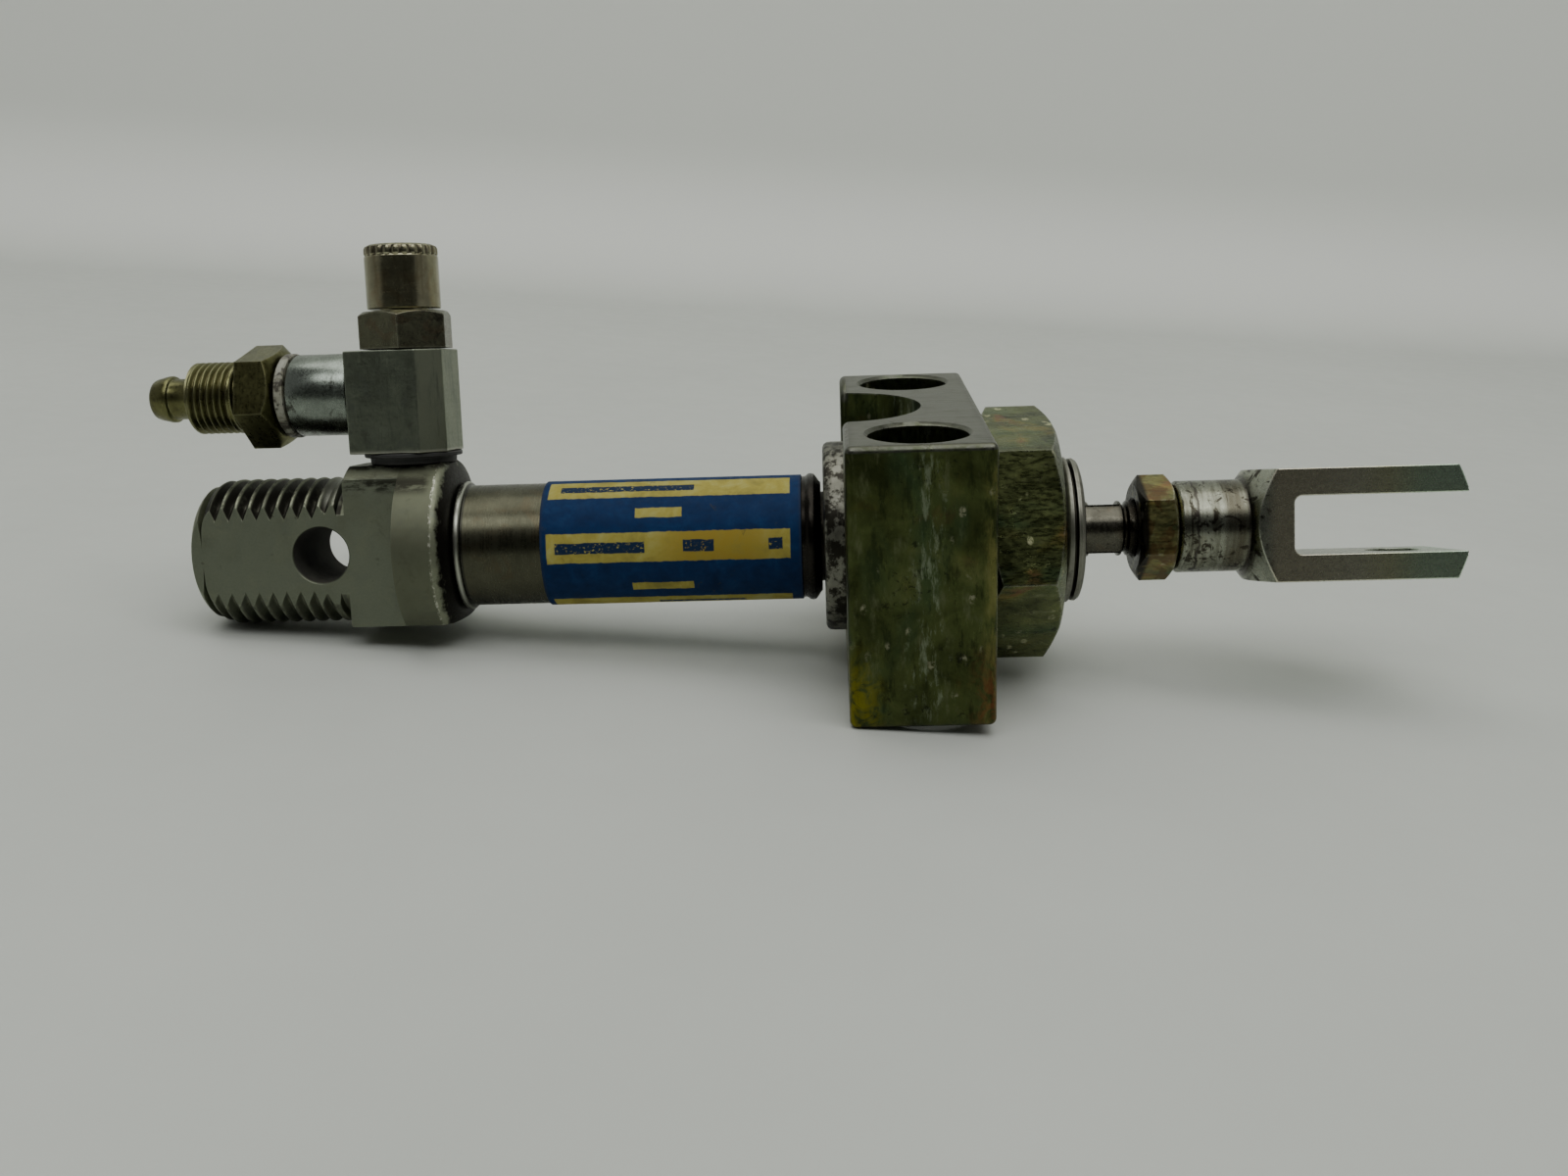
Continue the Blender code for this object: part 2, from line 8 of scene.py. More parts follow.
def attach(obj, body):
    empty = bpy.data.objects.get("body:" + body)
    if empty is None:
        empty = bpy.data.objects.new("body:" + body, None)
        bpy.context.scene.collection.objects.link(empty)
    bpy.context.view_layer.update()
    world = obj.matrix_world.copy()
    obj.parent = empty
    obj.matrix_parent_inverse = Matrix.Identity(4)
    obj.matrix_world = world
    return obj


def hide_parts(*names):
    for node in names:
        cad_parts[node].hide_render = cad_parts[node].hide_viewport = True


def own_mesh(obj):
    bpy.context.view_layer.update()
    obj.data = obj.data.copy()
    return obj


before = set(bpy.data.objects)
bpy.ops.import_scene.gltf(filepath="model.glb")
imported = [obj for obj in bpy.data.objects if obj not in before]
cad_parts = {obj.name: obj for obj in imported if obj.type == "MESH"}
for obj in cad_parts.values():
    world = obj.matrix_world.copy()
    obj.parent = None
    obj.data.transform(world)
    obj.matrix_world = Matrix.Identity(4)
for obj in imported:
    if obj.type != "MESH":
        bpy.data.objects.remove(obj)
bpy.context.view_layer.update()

# Lengths are millimetres along and around the cylinder axis, measured from the front cap's seat.
MM = 0.001
AXIS_HEIGHT, SHIFT_X = 14.3, 0.85
ROLL_CYLINDER = math.radians(-9.0)
ROLL_FORK = math.radians(-13.5)
ROLL_LOCKNUT = math.radians(-21.5)
ROLL_JAM = math.radians(-15.0)
ROLL_FITTING = math.radians(-20.7)
TURN_SILENCER = math.radians(36.0)
SWIVEL = math.radians(-5.5)
PORT_X, NECK_Z = -55.3, 17.0
SHARP = math.radians(32.0)

AXIS = Matrix.Translation((SHIFT_X * MM, 0.0, AXIS_HEIGHT * MM))
CYLINDER = AXIS @ Matrix.Rotation(ROLL_CYLINDER, 4, "X")
FORK = AXIS @ Matrix.Rotation(ROLL_FORK, 4, "X")
PORT = CYLINDER @ Matrix.Translation((PORT_X * MM, 0.0, 0.0))
BANJO = PORT @ Matrix.Rotation(SWIVEL, 4, "Z")
NECK = BANJO @ Matrix.Translation((-PORT_X * MM, 0.0, NECK_Z * MM))


# ---- geometry ------------------------------------------------------------------------------
def piece(name, bm, place):
    """Named object from a bmesh in local metres, set down in the row frame."""
    bmesh.ops.remove_doubles(bm, verts=bm.verts, dist=1e-7)
    bmesh.ops.recalc_face_normals(bm, faces=bm.faces)
    mesh = bpy.data.meshes.new(name)
    bm.to_mesh(mesh)
    bm.free()
    mesh.shade_smooth()
    mesh.set_sharp_from_angle(angle=SHARP)
    obj = bpy.data.objects.new(name, mesh)
    bpy.context.scene.collection.objects.link(obj)
    obj.matrix_world = place
    return obj


def turned(name, profile, place=AXIS, segments=96, axis="X"):
    """Turned piece; the profile is (station, radius) pairs, closed on itself when bored."""
    bm = bmesh.new()
    verts = [bm.verts.new((s * MM, 0.0, r * MM)) for s, r in profile]
    edges = [bm.edges.new(pair) for pair in zip(verts, verts[1:])]
    if profile[0][1] > 0.0:
        edges.append(bm.edges.new((verts[-1], verts[0])))
    bmesh.ops.spin(bm, geom=verts + edges, cent=(0, 0, 0), axis=(1, 0, 0),
                   angle=2.0 * math.pi, steps=segments, use_merge=True)
    if axis == "Z":
        bmesh.ops.rotate(bm, verts=bm.verts, cent=(0, 0, 0),
                         matrix=Matrix.Rotation(-math.pi / 2.0, 3, "Y"))
    return piece(name, bm, place)


def box(low, high, place=AXIS):
    bm = bmesh.new()
    bmesh.ops.create_cube(bm, size=1.0)
    bmesh.ops.scale(bm, verts=bm.verts, vec=[(b - a) * MM for a, b in zip(low, high)])
    bmesh.ops.translate(bm, verts=bm.verts, vec=[(a + b) / 2.0 * MM for a, b in zip(low, high)])
    return piece("cutter", bm, place)


def prism(name, outline, axis, low, high, place=AXIS):
    order = {"X": (1, 2, 0), "Y": (0, 2, 1), "Z": (0, 1, 2)}[axis]
    bm = bmesh.new()
    verts = []
    for u, v in outline:
        point = [0.0, 0.0, 0.0]
        point[order[0]], point[order[1]], point[order[2]] = u * MM, v * MM, low * MM
        verts.append(bm.verts.new(point))
    shift = [0.0, 0.0, 0.0]
    shift[order[2]] = (high - low) * MM
    top = bmesh.ops.extrude_face_region(bm, geom=[bm.faces.new(verts)])["geom"]
    bmesh.ops.translate(bm, verts=[g for g in top if isinstance(g, bmesh.types.BMVert)], vec=shift)
    return piece(name, bm, place)


def bar(radius, low, high, axis, centre=(0.0, 0.0, 0.0), place=AXIS, segments=64, flare=0.0):
    """Round cutter along an axis; a flare chamfers both of its ends by that much."""
    tip = radius + 4.0 * flare
    profile = [(low, 0.0), (low, radius), (high, radius), (high, 0.0)]
    if flare:
        profile = [(low - 3.0 * flare, 0.0), (low - 3.0 * flare, tip), (low + flare, radius),
                   (high - flare, radius), (high + 3.0 * flare, tip), (high + 3.0 * flare, 0.0)]
    cutter = turned("cutter", profile, place, segments)
    turn = {"X": Matrix.Identity(4), "Y": Matrix.Rotation(math.pi / 2.0, 4, "Z"),
            "Z": Matrix.Rotation(-math.pi / 2.0, 4, "Y")}[axis]
    cutter.data.transform(Matrix.Translation([c * MM for c in centre]) @ turn)
    return cutter


def combine(obj, tool, operation="DIFFERENCE"):
    """Exact boolean, applied at once."""
    bpy.context.view_layer.update()
    mod = obj.modifiers.new("cut", "BOOLEAN")
    mod.operation, mod.solver, mod.object = operation, "EXACT", tool
    graph = bpy.context.evaluated_depsgraph_get()
    result = bpy.data.meshes.new_from_object(obj.evaluated_get(graph))
    obj.modifiers.clear()
    old, obj.data = obj.data, result
    bpy.data.meshes.remove(old)
    bpy.data.objects.remove(tool, do_unlink=True)
    result.name = obj.name
    result.shade_smooth()
    result.set_sharp_from_angle(angle=SHARP)
    return obj


def level(obj):
    """Flat faces shaded flat beside their rounded edges."""
    obj.data.shade_smooth()
    obj.data.set_sharp_from_angle(angle=math.radians(45.0))
    mod = obj.modifiers.new("level", "WEIGHTED_NORMAL")
    mod.keep_sharp, mod.weight = True, 100
    bpy.context.view_layer.update()
    obj.data = bpy.data.meshes.new_from_object(
        obj.evaluated_get(bpy.context.evaluated_depsgraph_get()))
    obj.modifiers.clear()
    return obj


def soften(obj, width=0.12, segments=2, angle=35.0, clamp=True):
    """Small rounded edges, applied to the mesh."""
    mod = obj.modifiers.new("edges", "BEVEL")
    mod.width, mod.segments = width * MM, segments
    mod.limit_method, mod.angle_limit = "ANGLE", math.radians(angle)
    mod.use_clamp_overlap, mod.harden_normals = clamp, False
    bpy.context.view_layer.update()
    result = bpy.data.meshes.new_from_object(
        obj.evaluated_get(bpy.context.evaluated_depsgraph_get()))
    obj.modifiers.clear()
    obj.data = result
    return level(obj)


def hexagon(across_flats, turn=0.0):
    corner = across_flats / math.sqrt(3.0)
    return [(corner * math.cos(turn + math.radians(30.0 + 60.0 * k)),
             corner * math.sin(turn + math.radians(30.0 + 60.0 * k))) for k in range(6)]


def arc(radius, steps):
    """Quarter circle from the first axis to the second."""
    return [(radius * math.cos(math.pi / 2.0 * k / steps), radius * math.sin(math.pi / 2.0 * k / steps))
            for k in range(steps + 1)]


def screw(name, head, start, end, major, pitch, depth, tail, place=AXIS, segments=96, rows=12,
          lead=0.0):
    """Turned piece with a helical thread between start and end; head and tail are profiles.

    Over the first lead millimetres of the thread the piece is rounded off like its head.
    """
    stations = [(s, r, False) for s, r in head]
    count = int(round((end - start) / pitch * rows))
    for k in range(count + 1):
        s = start + (end - start) * k / count
        short = max(lead - (s - start), 0.0)
        stations.append((s, major - lead + math.sqrt(max(lead ** 2 - short ** 2, 0.0)), True))
    stations += [(s, r, False) for s, r in tail]

    def radius(s, r, threaded, turn):
        if not threaded:
            return r
        phase = ((s - start) / pitch + turn) % 1.0
        ramp = min(abs(phase - 0.5) * 2.0 / 0.86, 1.0)
        fade = min((s - start) / (0.5 * pitch), (end - s) / (1.0 * pitch), 1.0)
        return min(r, major - depth * (1.0 - ramp) ** 0.9 * max(fade, 0.0))

    bm = bmesh.new()
    rings = []
    for s, r, threaded in stations:
        if r == 0.0:
            rings.append([bm.verts.new((s * MM, 0.0, 0.0))])
            continue
        ring = []
        for k in range(segments):
            angle = 2.0 * math.pi * k / segments
            value = radius(s, r, threaded, k / segments) * MM
            ring.append(bm.verts.new((s * MM, value * math.cos(angle), value * math.sin(angle))))
        rings.append(ring)
    for a, b in zip(rings, rings[1:]):
        for k in range(segments):
            n = (k + 1) % segments
            if len(a) == 1:
                bm.faces.new([a[0], b[n], b[k]])
            elif len(b) == 1:
                bm.faces.new([a[k], a[n], b[0]])
            else:
                bm.faces.new([a[k], a[n], b[n], b[k]])
    if len(rings[0]) > 1:
        for k in range(segments):
            n = (k + 1) % segments
            bm.faces.new([rings[0][n], rings[0][k], rings[-1][k], rings[-1][n]])
    return piece(name, bm, place)


# ---- procedural finishes -------------------------------------------------------------------
# The CAD node that each piece stands for, by the name of the piece.
STANDS_FOR = {}


class Finish:
    """One Principled material; every coordinate in it is the piece's own, in millimetres."""

    def __init__(self, name, metallic=1.0, roughness=0.4, specular=0.5):
        self.mat = bpy.data.materials.new(name)
        self.mat.use_nodes = True
        self.tree = self.mat.node_tree
        self.shader = self.tree.nodes["Principled BSDF"]
        self.set("Metallic", metallic)
        self.set("Roughness", roughness)
        self.set("Specular IOR Level", specular)
        coords = self.tree.nodes.new("ShaderNodeTexCoord")
        self.normal = coords.outputs["Normal"]
        scale = self.node("ShaderNodeVectorMath", operation="SCALE")
        self.tree.links.new(coords.outputs["Object"], scale.inputs[0])
        scale.inputs["Scale"].default_value = 1000.0
        self.mm = scale.outputs[0]
        parts = self.node("ShaderNodeSeparateXYZ")
        self.tree.links.new(self.mm, parts.inputs[0])
        self.x, self.y, self.z = parts.outputs

    def node(self, kind, **values):
        made = self.tree.nodes.new(kind)
        for key, value in values.items():
            setattr(made, key, value)
        return made

    def set(self, socket, value):
        """Constant or link on one of the shader's sockets."""
        self.wire(value, self.shader.inputs[socket])

    def wire(self, value, socket):
        if isinstance(value, bpy.types.NodeSocket):
            self.tree.links.new(value, socket)
        elif isinstance(value, tuple) and len(value) == 3 and socket.type == "RGBA":
            socket.default_value = (*value, 1.0)
        else:
            socket.default_value = value

    def math(self, operation, a, b=0.0, clamp=False):
        made = self.node("ShaderNodeMath", operation=operation, use_clamp=clamp)
        self.wire(a, made.inputs[0])
        self.wire(b, made.inputs[1])
        return made.outputs[0]

    def times(self, a, b):
        return self.math("MULTIPLY", a, b)

    def stretch(self, factors, vector=None):
        made = self.node("ShaderNodeVectorMath", operation="MULTIPLY")
        self.wire(vector or self.mm, made.inputs[0])
        made.inputs[1].default_value = factors
        return made.outputs[0]

    def noise(self, scale, detail=4.0, rough=0.55, vector=None, distortion=0.0):
        made = self.node("ShaderNodeTexNoise")
        self.wire(vector or self.mm, made.inputs["Vector"])
        for key, value in (("Scale", scale), ("Detail", detail), ("Roughness", rough),
                           ("Distortion", distortion)):
            made.inputs[key].default_value = value
        return made.outputs["Fac"]

    def cells(self, scale, vector=None):
        made = self.node("ShaderNodeTexVoronoi", feature="F1")
        self.wire(vector or self.mm, made.inputs["Vector"])
        made.inputs["Scale"].default_value = scale
        return made.outputs["Distance"]

    def mask(self, value, low, high, out_low=0.0, out_high=1.0):
        made = self.node("ShaderNodeMapRange", interpolation_type="SMOOTHSTEP")
        self.wire(value, made.inputs["Value"])
        for key, number in (("From Min", low), ("From Max", high), ("To Min", out_low),
                            ("To Max", out_high)):
            made.inputs[key].default_value = number
        return made.outputs[0]

    def band(self, value, low, high, soft=0.05):
        """One between low and high, zero outside."""
        return self.times(self.mask(value, low - soft, low + soft),
                         self.mask(value, high - soft, high + soft, 1.0, 0.0))

    def ramp(self, value, stops):
        made = self.node("ShaderNodeValToRGB")
        self.wire(value, made.inputs[0])
        ramp = made.color_ramp
        while len(ramp.elements) < len(stops):
            ramp.elements.new(0.5)
        for element, (position, colour) in zip(ramp.elements, stops):
            element.position, element.color = position, (*colour, 1.0)
        return made.outputs[0]

    def mix(self, factor, a, b):
        made = self.node("ShaderNodeMix", data_type="RGBA")
        self.wire(factor, made.inputs[0])
        self.wire(a, made.inputs[6])
        self.wire(b, made.inputs[7])
        return made.outputs[2]

    def blend(self, factor, a, b):
        made = self.node("ShaderNodeMix", data_type="FLOAT")
        self.wire(factor, made.inputs[0])
        self.wire(a, made.inputs[2])
        self.wire(b, made.inputs[3])
        return made.outputs[0]

    def radial(self):
        """Distance from the piece's long axis."""
        return self.math("SQRT", self.math("ADD", self.times(self.y, self.y),
                                           self.times(self.z, self.z)))

    def angle(self):
        """Degrees up from the near side, around the long axis."""
        turn = self.math("ARCTAN2", self.z, self.times(self.y, -1.0))
        return self.times(turn, 180.0 / math.pi)

    def edges(self, width=0.35):
        """One along the edges, where a finish wears bright and where a painted edge highlight is laid."""
        rounded = self.node("ShaderNodeBevel", samples=4)
        rounded.inputs["Radius"].default_value = width * MM
        turn = self.node("ShaderNodeVectorMath", operation="DOT_PRODUCT")
        self.wire(rounded.outputs[0], turn.inputs[0])
        self.wire(self.node("ShaderNodeNewGeometry").outputs["Normal"], turn.inputs[1])
        return self.mask(turn.outputs["Value"], 0.99, 0.88)

    def bump(self, *layers):
        """Height layers as (height, strength, distance in millimetres)."""
        normal = None
        for height, strength, distance in layers:
            made = self.node("ShaderNodeBump")
            self.wire(height, made.inputs["Height"])
            made.inputs["Strength"].default_value = strength
            made.inputs["Distance"].default_value = distance * MM
            if normal:
                self.tree.links.new(normal, made.inputs["Normal"])
            normal = made.outputs[0]
        self.tree.links.new(normal, self.shader.inputs["Normal"])

    def dress(self, *objects):
        """Give the finish to each piece, and to the plain solid the piece stands for."""
        solids = [STANDS_FOR[obj.name] for obj in objects if obj.name in STANDS_FOR]
        for obj in [*objects, *solids]:
            obj.data.materials.clear()
            obj.data.materials.append(self.mat)


def chromate(name, seed, olive, streak_axis=2, warmth=0.5, level=1.0, polish=0.0):
    """Yellow passivated zinc: olive clouds, pale bloom, pink and green tints, worn edges."""
    def tint(*colour):
        return tuple(c * level for c in colour)

    f = Finish(name, roughness=0.4)
    shifted = f.node("ShaderNodeVectorMath", operation="ADD")
    f.wire(f.mm, shifted.inputs[0])
    shifted.inputs[1].default_value = (seed, seed * 1.7, seed * 0.6)
    place = shifted.outputs[0]
    factors = [1.0, 1.0, 1.0]
    factors[streak_axis] = 0.30
    streaked = f.stretch(tuple(factors), place)
    cloud = f.noise(0.16, 5.0, 0.62, place, 0.6)
    streaks = f.noise(0.65, 5.0, 0.7, streaked)
    fine = f.noise(3.2, 4.0, 0.7, streaked)
    colour = f.ramp(cloud, [(0.32, tuple(c * 0.45 for c in olive)), (0.47, olive),
                            (0.58, tuple(c * 1.35 for c in olive)), (0.72, tint(0.22, 0.24, 0.09))])
    colour = f.mix(f.mask(streaks, 0.54, 0.72, 0.0, 0.6), colour, tint(0.25, 0.27, 0.15))
    colour = f.mix(f.mask(streaks, 0.48, 0.34, 0.0, 0.75), colour, tint(0.035, 0.045, 0.018))
    green = f.mask(f.noise(0.20, 3.0, 0.5, streaked, 0.8), 0.50, 0.72, 0.0, 0.6)
    colour = f.mix(green, colour, tint(0.075, 0.135, 0.065))
    rim = f.noise(0.13, 3.0, 0.5, place, 0.9)
    yellow = f.times(f.mask(rim, 0.54, 0.66), f.mask(streaks, 0.40, 0.62, 0.0, warmth))
    colour = f.mix(yellow, colour, tint(0.27, 0.23, 0.04))
    pink = f.times(f.mask(rim, 0.60, 0.70), f.mask(fine, 0.35, 0.6, 0.0, warmth))
    colour = f.mix(pink, colour, tint(0.28, 0.09, 0.07))
    specks = f.times(f.mask(f.cells(0.55, f.stretch((1.0, 1.0, 0.6), place)), 0.26, 0.16),
                    f.mask(f.noise(0.33, 3.0, 0.5, place), 0.50, 0.60))
    specks = f.times(specks, f.mask(f.noise(2.4, 4.0, 0.7, place), 0.40, 0.56, 0.0, 0.85))
    colour = f.mix(specks, colour, tint(0.52, 0.52, 0.32))
    pits = f.times(f.mask(f.noise(1.3, 5.0, 0.75, place, 0.8), 0.56, 0.64, 0.0, 0.65),
                  f.mask(f.noise(0.21, 2.0, 0.5, place), 0.50, 0.60))
    colour = f.mix(pits, colour, tint(0.022, 0.022, 0.015))
    rough = f.blend(specks, f.mask(fine, 0.3, 0.7, 0.26 - polish, 0.50 - polish), 0.75)
    metallic = f.math("SUBTRACT", 1.0, f.times(specks, 0.7))
    worn = f.times(f.edges(), f.mask(f.noise(0.8, 4.0, 0.6, place), 0.38, 0.58, 0.15, 0.9))
    colour = f.mix(worn, colour, tint(0.40, 0.41, 0.33))
    f.colour, f.place, f.rough, f.streaks = colour, place, rough, streaks
    f.set("Base Color", colour)
    f.set("Roughness", rough)
    f.set("Metallic", metallic)
    f.bump((specks, 0.5, 0.05), (pits, 0.4, -0.04), (fine, 0.25, 0.02),
           (f.noise(0.5, 3.0, 0.5, place), 0.3, 0.10))
    return f


def metal(name, base, roughness, lines=0.0, line_axis=0, grime=0.3, wear_and_glint=0.5, tint=None, seed=0.0,
          grain=2.5, coarse=0.25, relief=1.0):
    """Bare or plated metal with machining lines, handling grime, and bright edges that are partly wear and
    partly a painted edge highlight.
    """
    f = Finish(name, roughness=roughness)
    shifted = f.node("ShaderNodeVectorMath", operation="ADD")
    f.wire(f.mm, shifted.inputs[0])
    shifted.inputs[1].default_value = (seed, seed * 0.7, seed * 1.3)
    place = shifted.outputs[0]
    cloud = f.noise(coarse, 5.0, 0.6, place, 0.5)
    colour = f.ramp(cloud, [(0.30, tuple(c * 0.70 for c in base)), (0.55, base),
                            (0.75, tuple(min(c * 1.18, 1.0) for c in base))])
    if tint:
        colour = f.mix(f.mask(f.noise(0.35, 4.0, 0.6, place, 1.0), 0.50, 0.68, 0.0, 0.65),
                       colour, tint)
    factors = [0.05, 0.05, 0.05]
    factors[line_axis] = 3.0
    cut = f.noise(1.6, 4.0, 0.65, f.stretch(tuple(factors), place))
    fine = f.noise(grain, 5.0, 0.7, place)
    if grime:
        dirt = f.times(f.mask(f.noise(0.55, 6.0, 0.72, place, 0.8), 0.54, 0.66),
                      f.mask(f.noise(0.12, 2.0, 0.5, place), 0.38, 0.60))
        colour = f.mix(f.times(dirt, grime), colour, (0.035, 0.032, 0.025))
    # Edges lightened: partly wear, partly a painted edge highlight.
    colour = f.mix(f.times(f.edges(), wear_and_glint), colour,
                   tuple(min(c * 1.5 + 0.08, 1.0) for c in base))
    f.set("Base Color", colour)
    rough = f.math("ADD", f.mask(fine, 0.3, 0.7, roughness - 0.07 * relief, roughness + 0.09 * relief),
                   f.times(f.mask(cut, 0.3, 0.7, -0.05, 0.05), lines))
    f.set("Roughness", rough)
    f.bump((cut, 0.35 * lines + 0.02, 0.02), (fine, 0.22 * relief, 0.012))
    f.colour, f.place, f.rough = colour, place, rough
    return f


def soft(name, colour, roughness, grain=1.6):
    """Rubber or plastic with mould grain, faint bloom and rubbed edges."""
    f = Finish(name, metallic=0.0, roughness=roughness)
    bloom = f.noise(0.5, 4.0, 0.6)
    pores = f.noise(grain * 3.0, 5.0, 0.7)
    tone = f.ramp(bloom, [(0.3, tuple(c * 0.7 for c in colour)), (0.55, colour),
                          (0.78, tuple(min(c * 1.5 + 0.01, 1.0) for c in colour))])
    f.set("Base Color", f.mix(f.edges(), tone, tuple(min(c * 1.6 + 0.02, 1.0) for c in colour)))
    f.set("Roughness", f.mask(pores, 0.3, 0.7, roughness - 0.1, roughness + 0.1))
    f.bump((pores, 0.3, 0.015))
    return f


def own(obj, body, node):
    """The piece moves with a body and stands for one CAD node."""
    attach(obj, body)
    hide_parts(node)
    STANDS_FOR[obj.name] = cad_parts[node]
    return obj


# ---- foot block ----------------------------------------------------------------------------
BLOCK_X0, BLOCK_X1, BLOCK_Y, BLOCK_Z = -8.13, 6.44, 21.0, 14.3
POCKET_R, POCKET_STEP, SLEEVE_BORE_R, WALL_BORE_R = 10.75, -5.9, 9.1, 8.3
NOTCH_R, BOLT_R, BOLT_X, BOLT_Y = 8.5, 5.0, -0.8, 14.7
block = soften(box((BLOCK_X0, -BLOCK_Y, -BLOCK_Z), (BLOCK_X1, BLOCK_Y, BLOCK_Z)), 0.7, 5)
block.name = "foot_block"
combine(block, turned("cutter", [
    (BLOCK_X0 - 2.0, 0.0), (BLOCK_X0 - 2.0, POCKET_R), (POCKET_STEP, POCKET_R),
    (POCKET_STEP, SLEEVE_BORE_R), (0.0, SLEEVE_BORE_R), (0.0, WALL_BORE_R),
    (BLOCK_X1 + 2.0, WALL_BORE_R), (BLOCK_X1 + 2.0, 0.0)]))
combine(block, bar(NOTCH_R, 3.3, BLOCK_Z + 2.0, "Z", (BLOCK_X0, 0.0, 0.0), segments=96))
for side in (-1.0, 1.0):
    combine(block, bar(BOLT_R, -BLOCK_Z, BLOCK_Z, "Z", (BOLT_X, side * BOLT_Y, 0.0), flare=0.35))
level(block)
own(block, "cylinder", "mounting_block")
f = chromate("block_finish", 3.0, (0.050, 0.062, 0.021), 2, warmth=0.15, level=0.5)
patch = f.noise(0.5, 5.0, 0.7, f.place, 0.8)
low = f.mask(f.z, -4.0, -12.0)
yellow = f.times(f.times(low, f.mask(f.x, -4.0, -7.0)), f.mask(patch, 0.40, 0.58))
colour = f.mix(f.times(yellow, 0.8), f.colour, (0.20, 0.18, 0.012))
rust = f.times(f.times(low, f.mask(f.x, 3.2, 5.6)), f.mask(patch, 0.42, 0.60))
colour = f.mix(f.times(rust, 0.7), colour, (0.17, 0.060, 0.025))
gold = f.times(f.mask(f.x, 4.6, 6.0), f.mask(f.streaks, 0.42, 0.60))
colour = f.mix(f.times(gold, 0.6), colour, (0.20, 0.19, 0.06))
# The long faces have a pale scuffed band down their middle.
scuff = f.times(f.band(f.math("ADD", f.x, f.mask(patch, 0.2, 0.8, -1.5, 1.5)), -1.6, 0.9, 0.8),
               f.mask(f.noise(1.0, 5.0, 0.75, f.stretch((1.0, 1.0, 0.22))), 0.50, 0.62))
colour = f.mix(f.times(scuff, 0.75), colour, (0.19, 0.22, 0.15))
up = f.node("ShaderNodeSeparateXYZ")
f.wire(f.normal, up.inputs[0])
top = f.mask(up.outputs[2], 0.70, 0.97)
scratch = f.noise(1.6, 6.0, 0.75, f.stretch((0.10, 2.2, 1.0)))
steel = f.ramp(scratch, [(0.30, (0.09, 0.09, 0.070)), (0.55, (0.140, 0.145, 0.112)),
                         (0.75, (0.20, 0.205, 0.165))])
smudge = f.mask(f.noise(0.35, 5.0, 0.6, None, 0.5), 0.48, 0.66, 0.0, 0.6)
steel = f.mix(smudge, steel, (0.068, 0.070, 0.048))
rim_x = f.math("ABSOLUTE", f.math("SUBTRACT", f.x, 0.5 * (BLOCK_X0 + BLOCK_X1)))
rim = f.math("MAXIMUM", f.mask(rim_x, 6.0, 7.1), f.mask(f.math("ABSOLUTE", f.y), 19.6, 20.8))
steel = f.mix(f.times(rim, 0.8), steel, (0.070, 0.070, 0.052))
colour = f.mix(top, colour, steel)
shoulder = f.times(f.band(up.outputs[2], 0.12, 0.85, 0.10), f.mask(f.z, 13.0, 13.6))
colour = f.mix(f.times(shoulder, f.mask(patch, 0.30, 0.60, 0.35, 0.9)), colour,
               (0.115, 0.118, 0.098))
f.set("Base Color", colour)
f.set("Roughness", f.blend(top, f.rough, f.mask(scratch, 0.3, 0.7, 0.30, 0.44)))
f.dress(block)


def nut(name, across_flats, bore_r, x0, x1, end_r, turn):
    corner = across_flats / math.sqrt(3.0) + 0.1
    rise = (corner - end_r) * math.tan(math.radians(30.0))
    body = prism(name, hexagon(across_flats), "X", x0, x1)
    combine(body, turned("cutter", [(x0, 0.0), (x0, end_r), (x0 + rise, corner),
                                    (x1 - rise, corner), (x1, end_r), (x1, 0.0)], AXIS, 128),
            "INTERSECT")
    combine(body, bar(bore_r, x0, x1, "X", flare=0.25))
    soften(body, 0.14, 2, 20.0)
    body.data.transform(Matrix.Rotation(turn, 4, "X"))
    return body


LOCKNUT_FLATS, LOCKNUT_BORE_R, LOCKNUT_X0, LOCKNUT_X1, LOCKNUT_END_R = 24.0, 8.15, 6.5, 14.5, 11.6
locknut = own(nut("cap_nut", LOCKNUT_FLATS, LOCKNUT_BORE_R, LOCKNUT_X0, LOCKNUT_X1, LOCKNUT_END_R,
                  ROLL_LOCKNUT), "cylinder", "cap_locknut")
chromate("locknut_finish", 41.0, (0.110, 0.128, 0.050), 0, level=0.95, polish=0.06).dress(locknut)

# ---- barrel and label ----------------------------------------------------------------------
tube = own(turned("barrel_tube", [
    (-49.9, 6.85), (-49.82, 7.05), (-49.65, 7.1), (-49.4, 7.08), (-49.27, 6.95), (-49.15, 6.68),
    (-49.0, 6.65), (-12.35, 6.65), (-12.15, 6.75), (-11.95, 6.92), (-11.65, 6.97), (-11.35, 6.9),
    (-11.1, 6.6), (-10.85, 6.2), (-10.62, 5.95), (-10.75, 5.4), (-11.7, 6.0), (-49.9, 6.0)]),
    "cylinder", "barrel")
f = metal("barrel_finish", (0.080, 0.080, 0.054), 0.29, lines=0.9, line_axis=0, grime=0.25, wear_and_glint=0.2,
          tint=(0.078, 0.068, 0.042), seed=5.0, relief=0.4)
lip = f.band(f.x, -50.1, -49.25, 0.04)
crimp = f.mask(f.x, -12.85, -12.6)
greased = f.times(crimp, f.mask(f.noise(0.9, 5.0, 0.7), 0.24, 0.38))
groove = f.times(f.band(f.x, -49.25, -48.95, 0.06), 0.85)
f.set("Base Color", f.mix(greased, f.mix(groove, f.mix(lip, f.colour, (0.40, 0.41, 0.35)),
                                         (0.03, 0.03, 0.025)), (0.02, 0.018, 0.015)))
f.dress(tube)

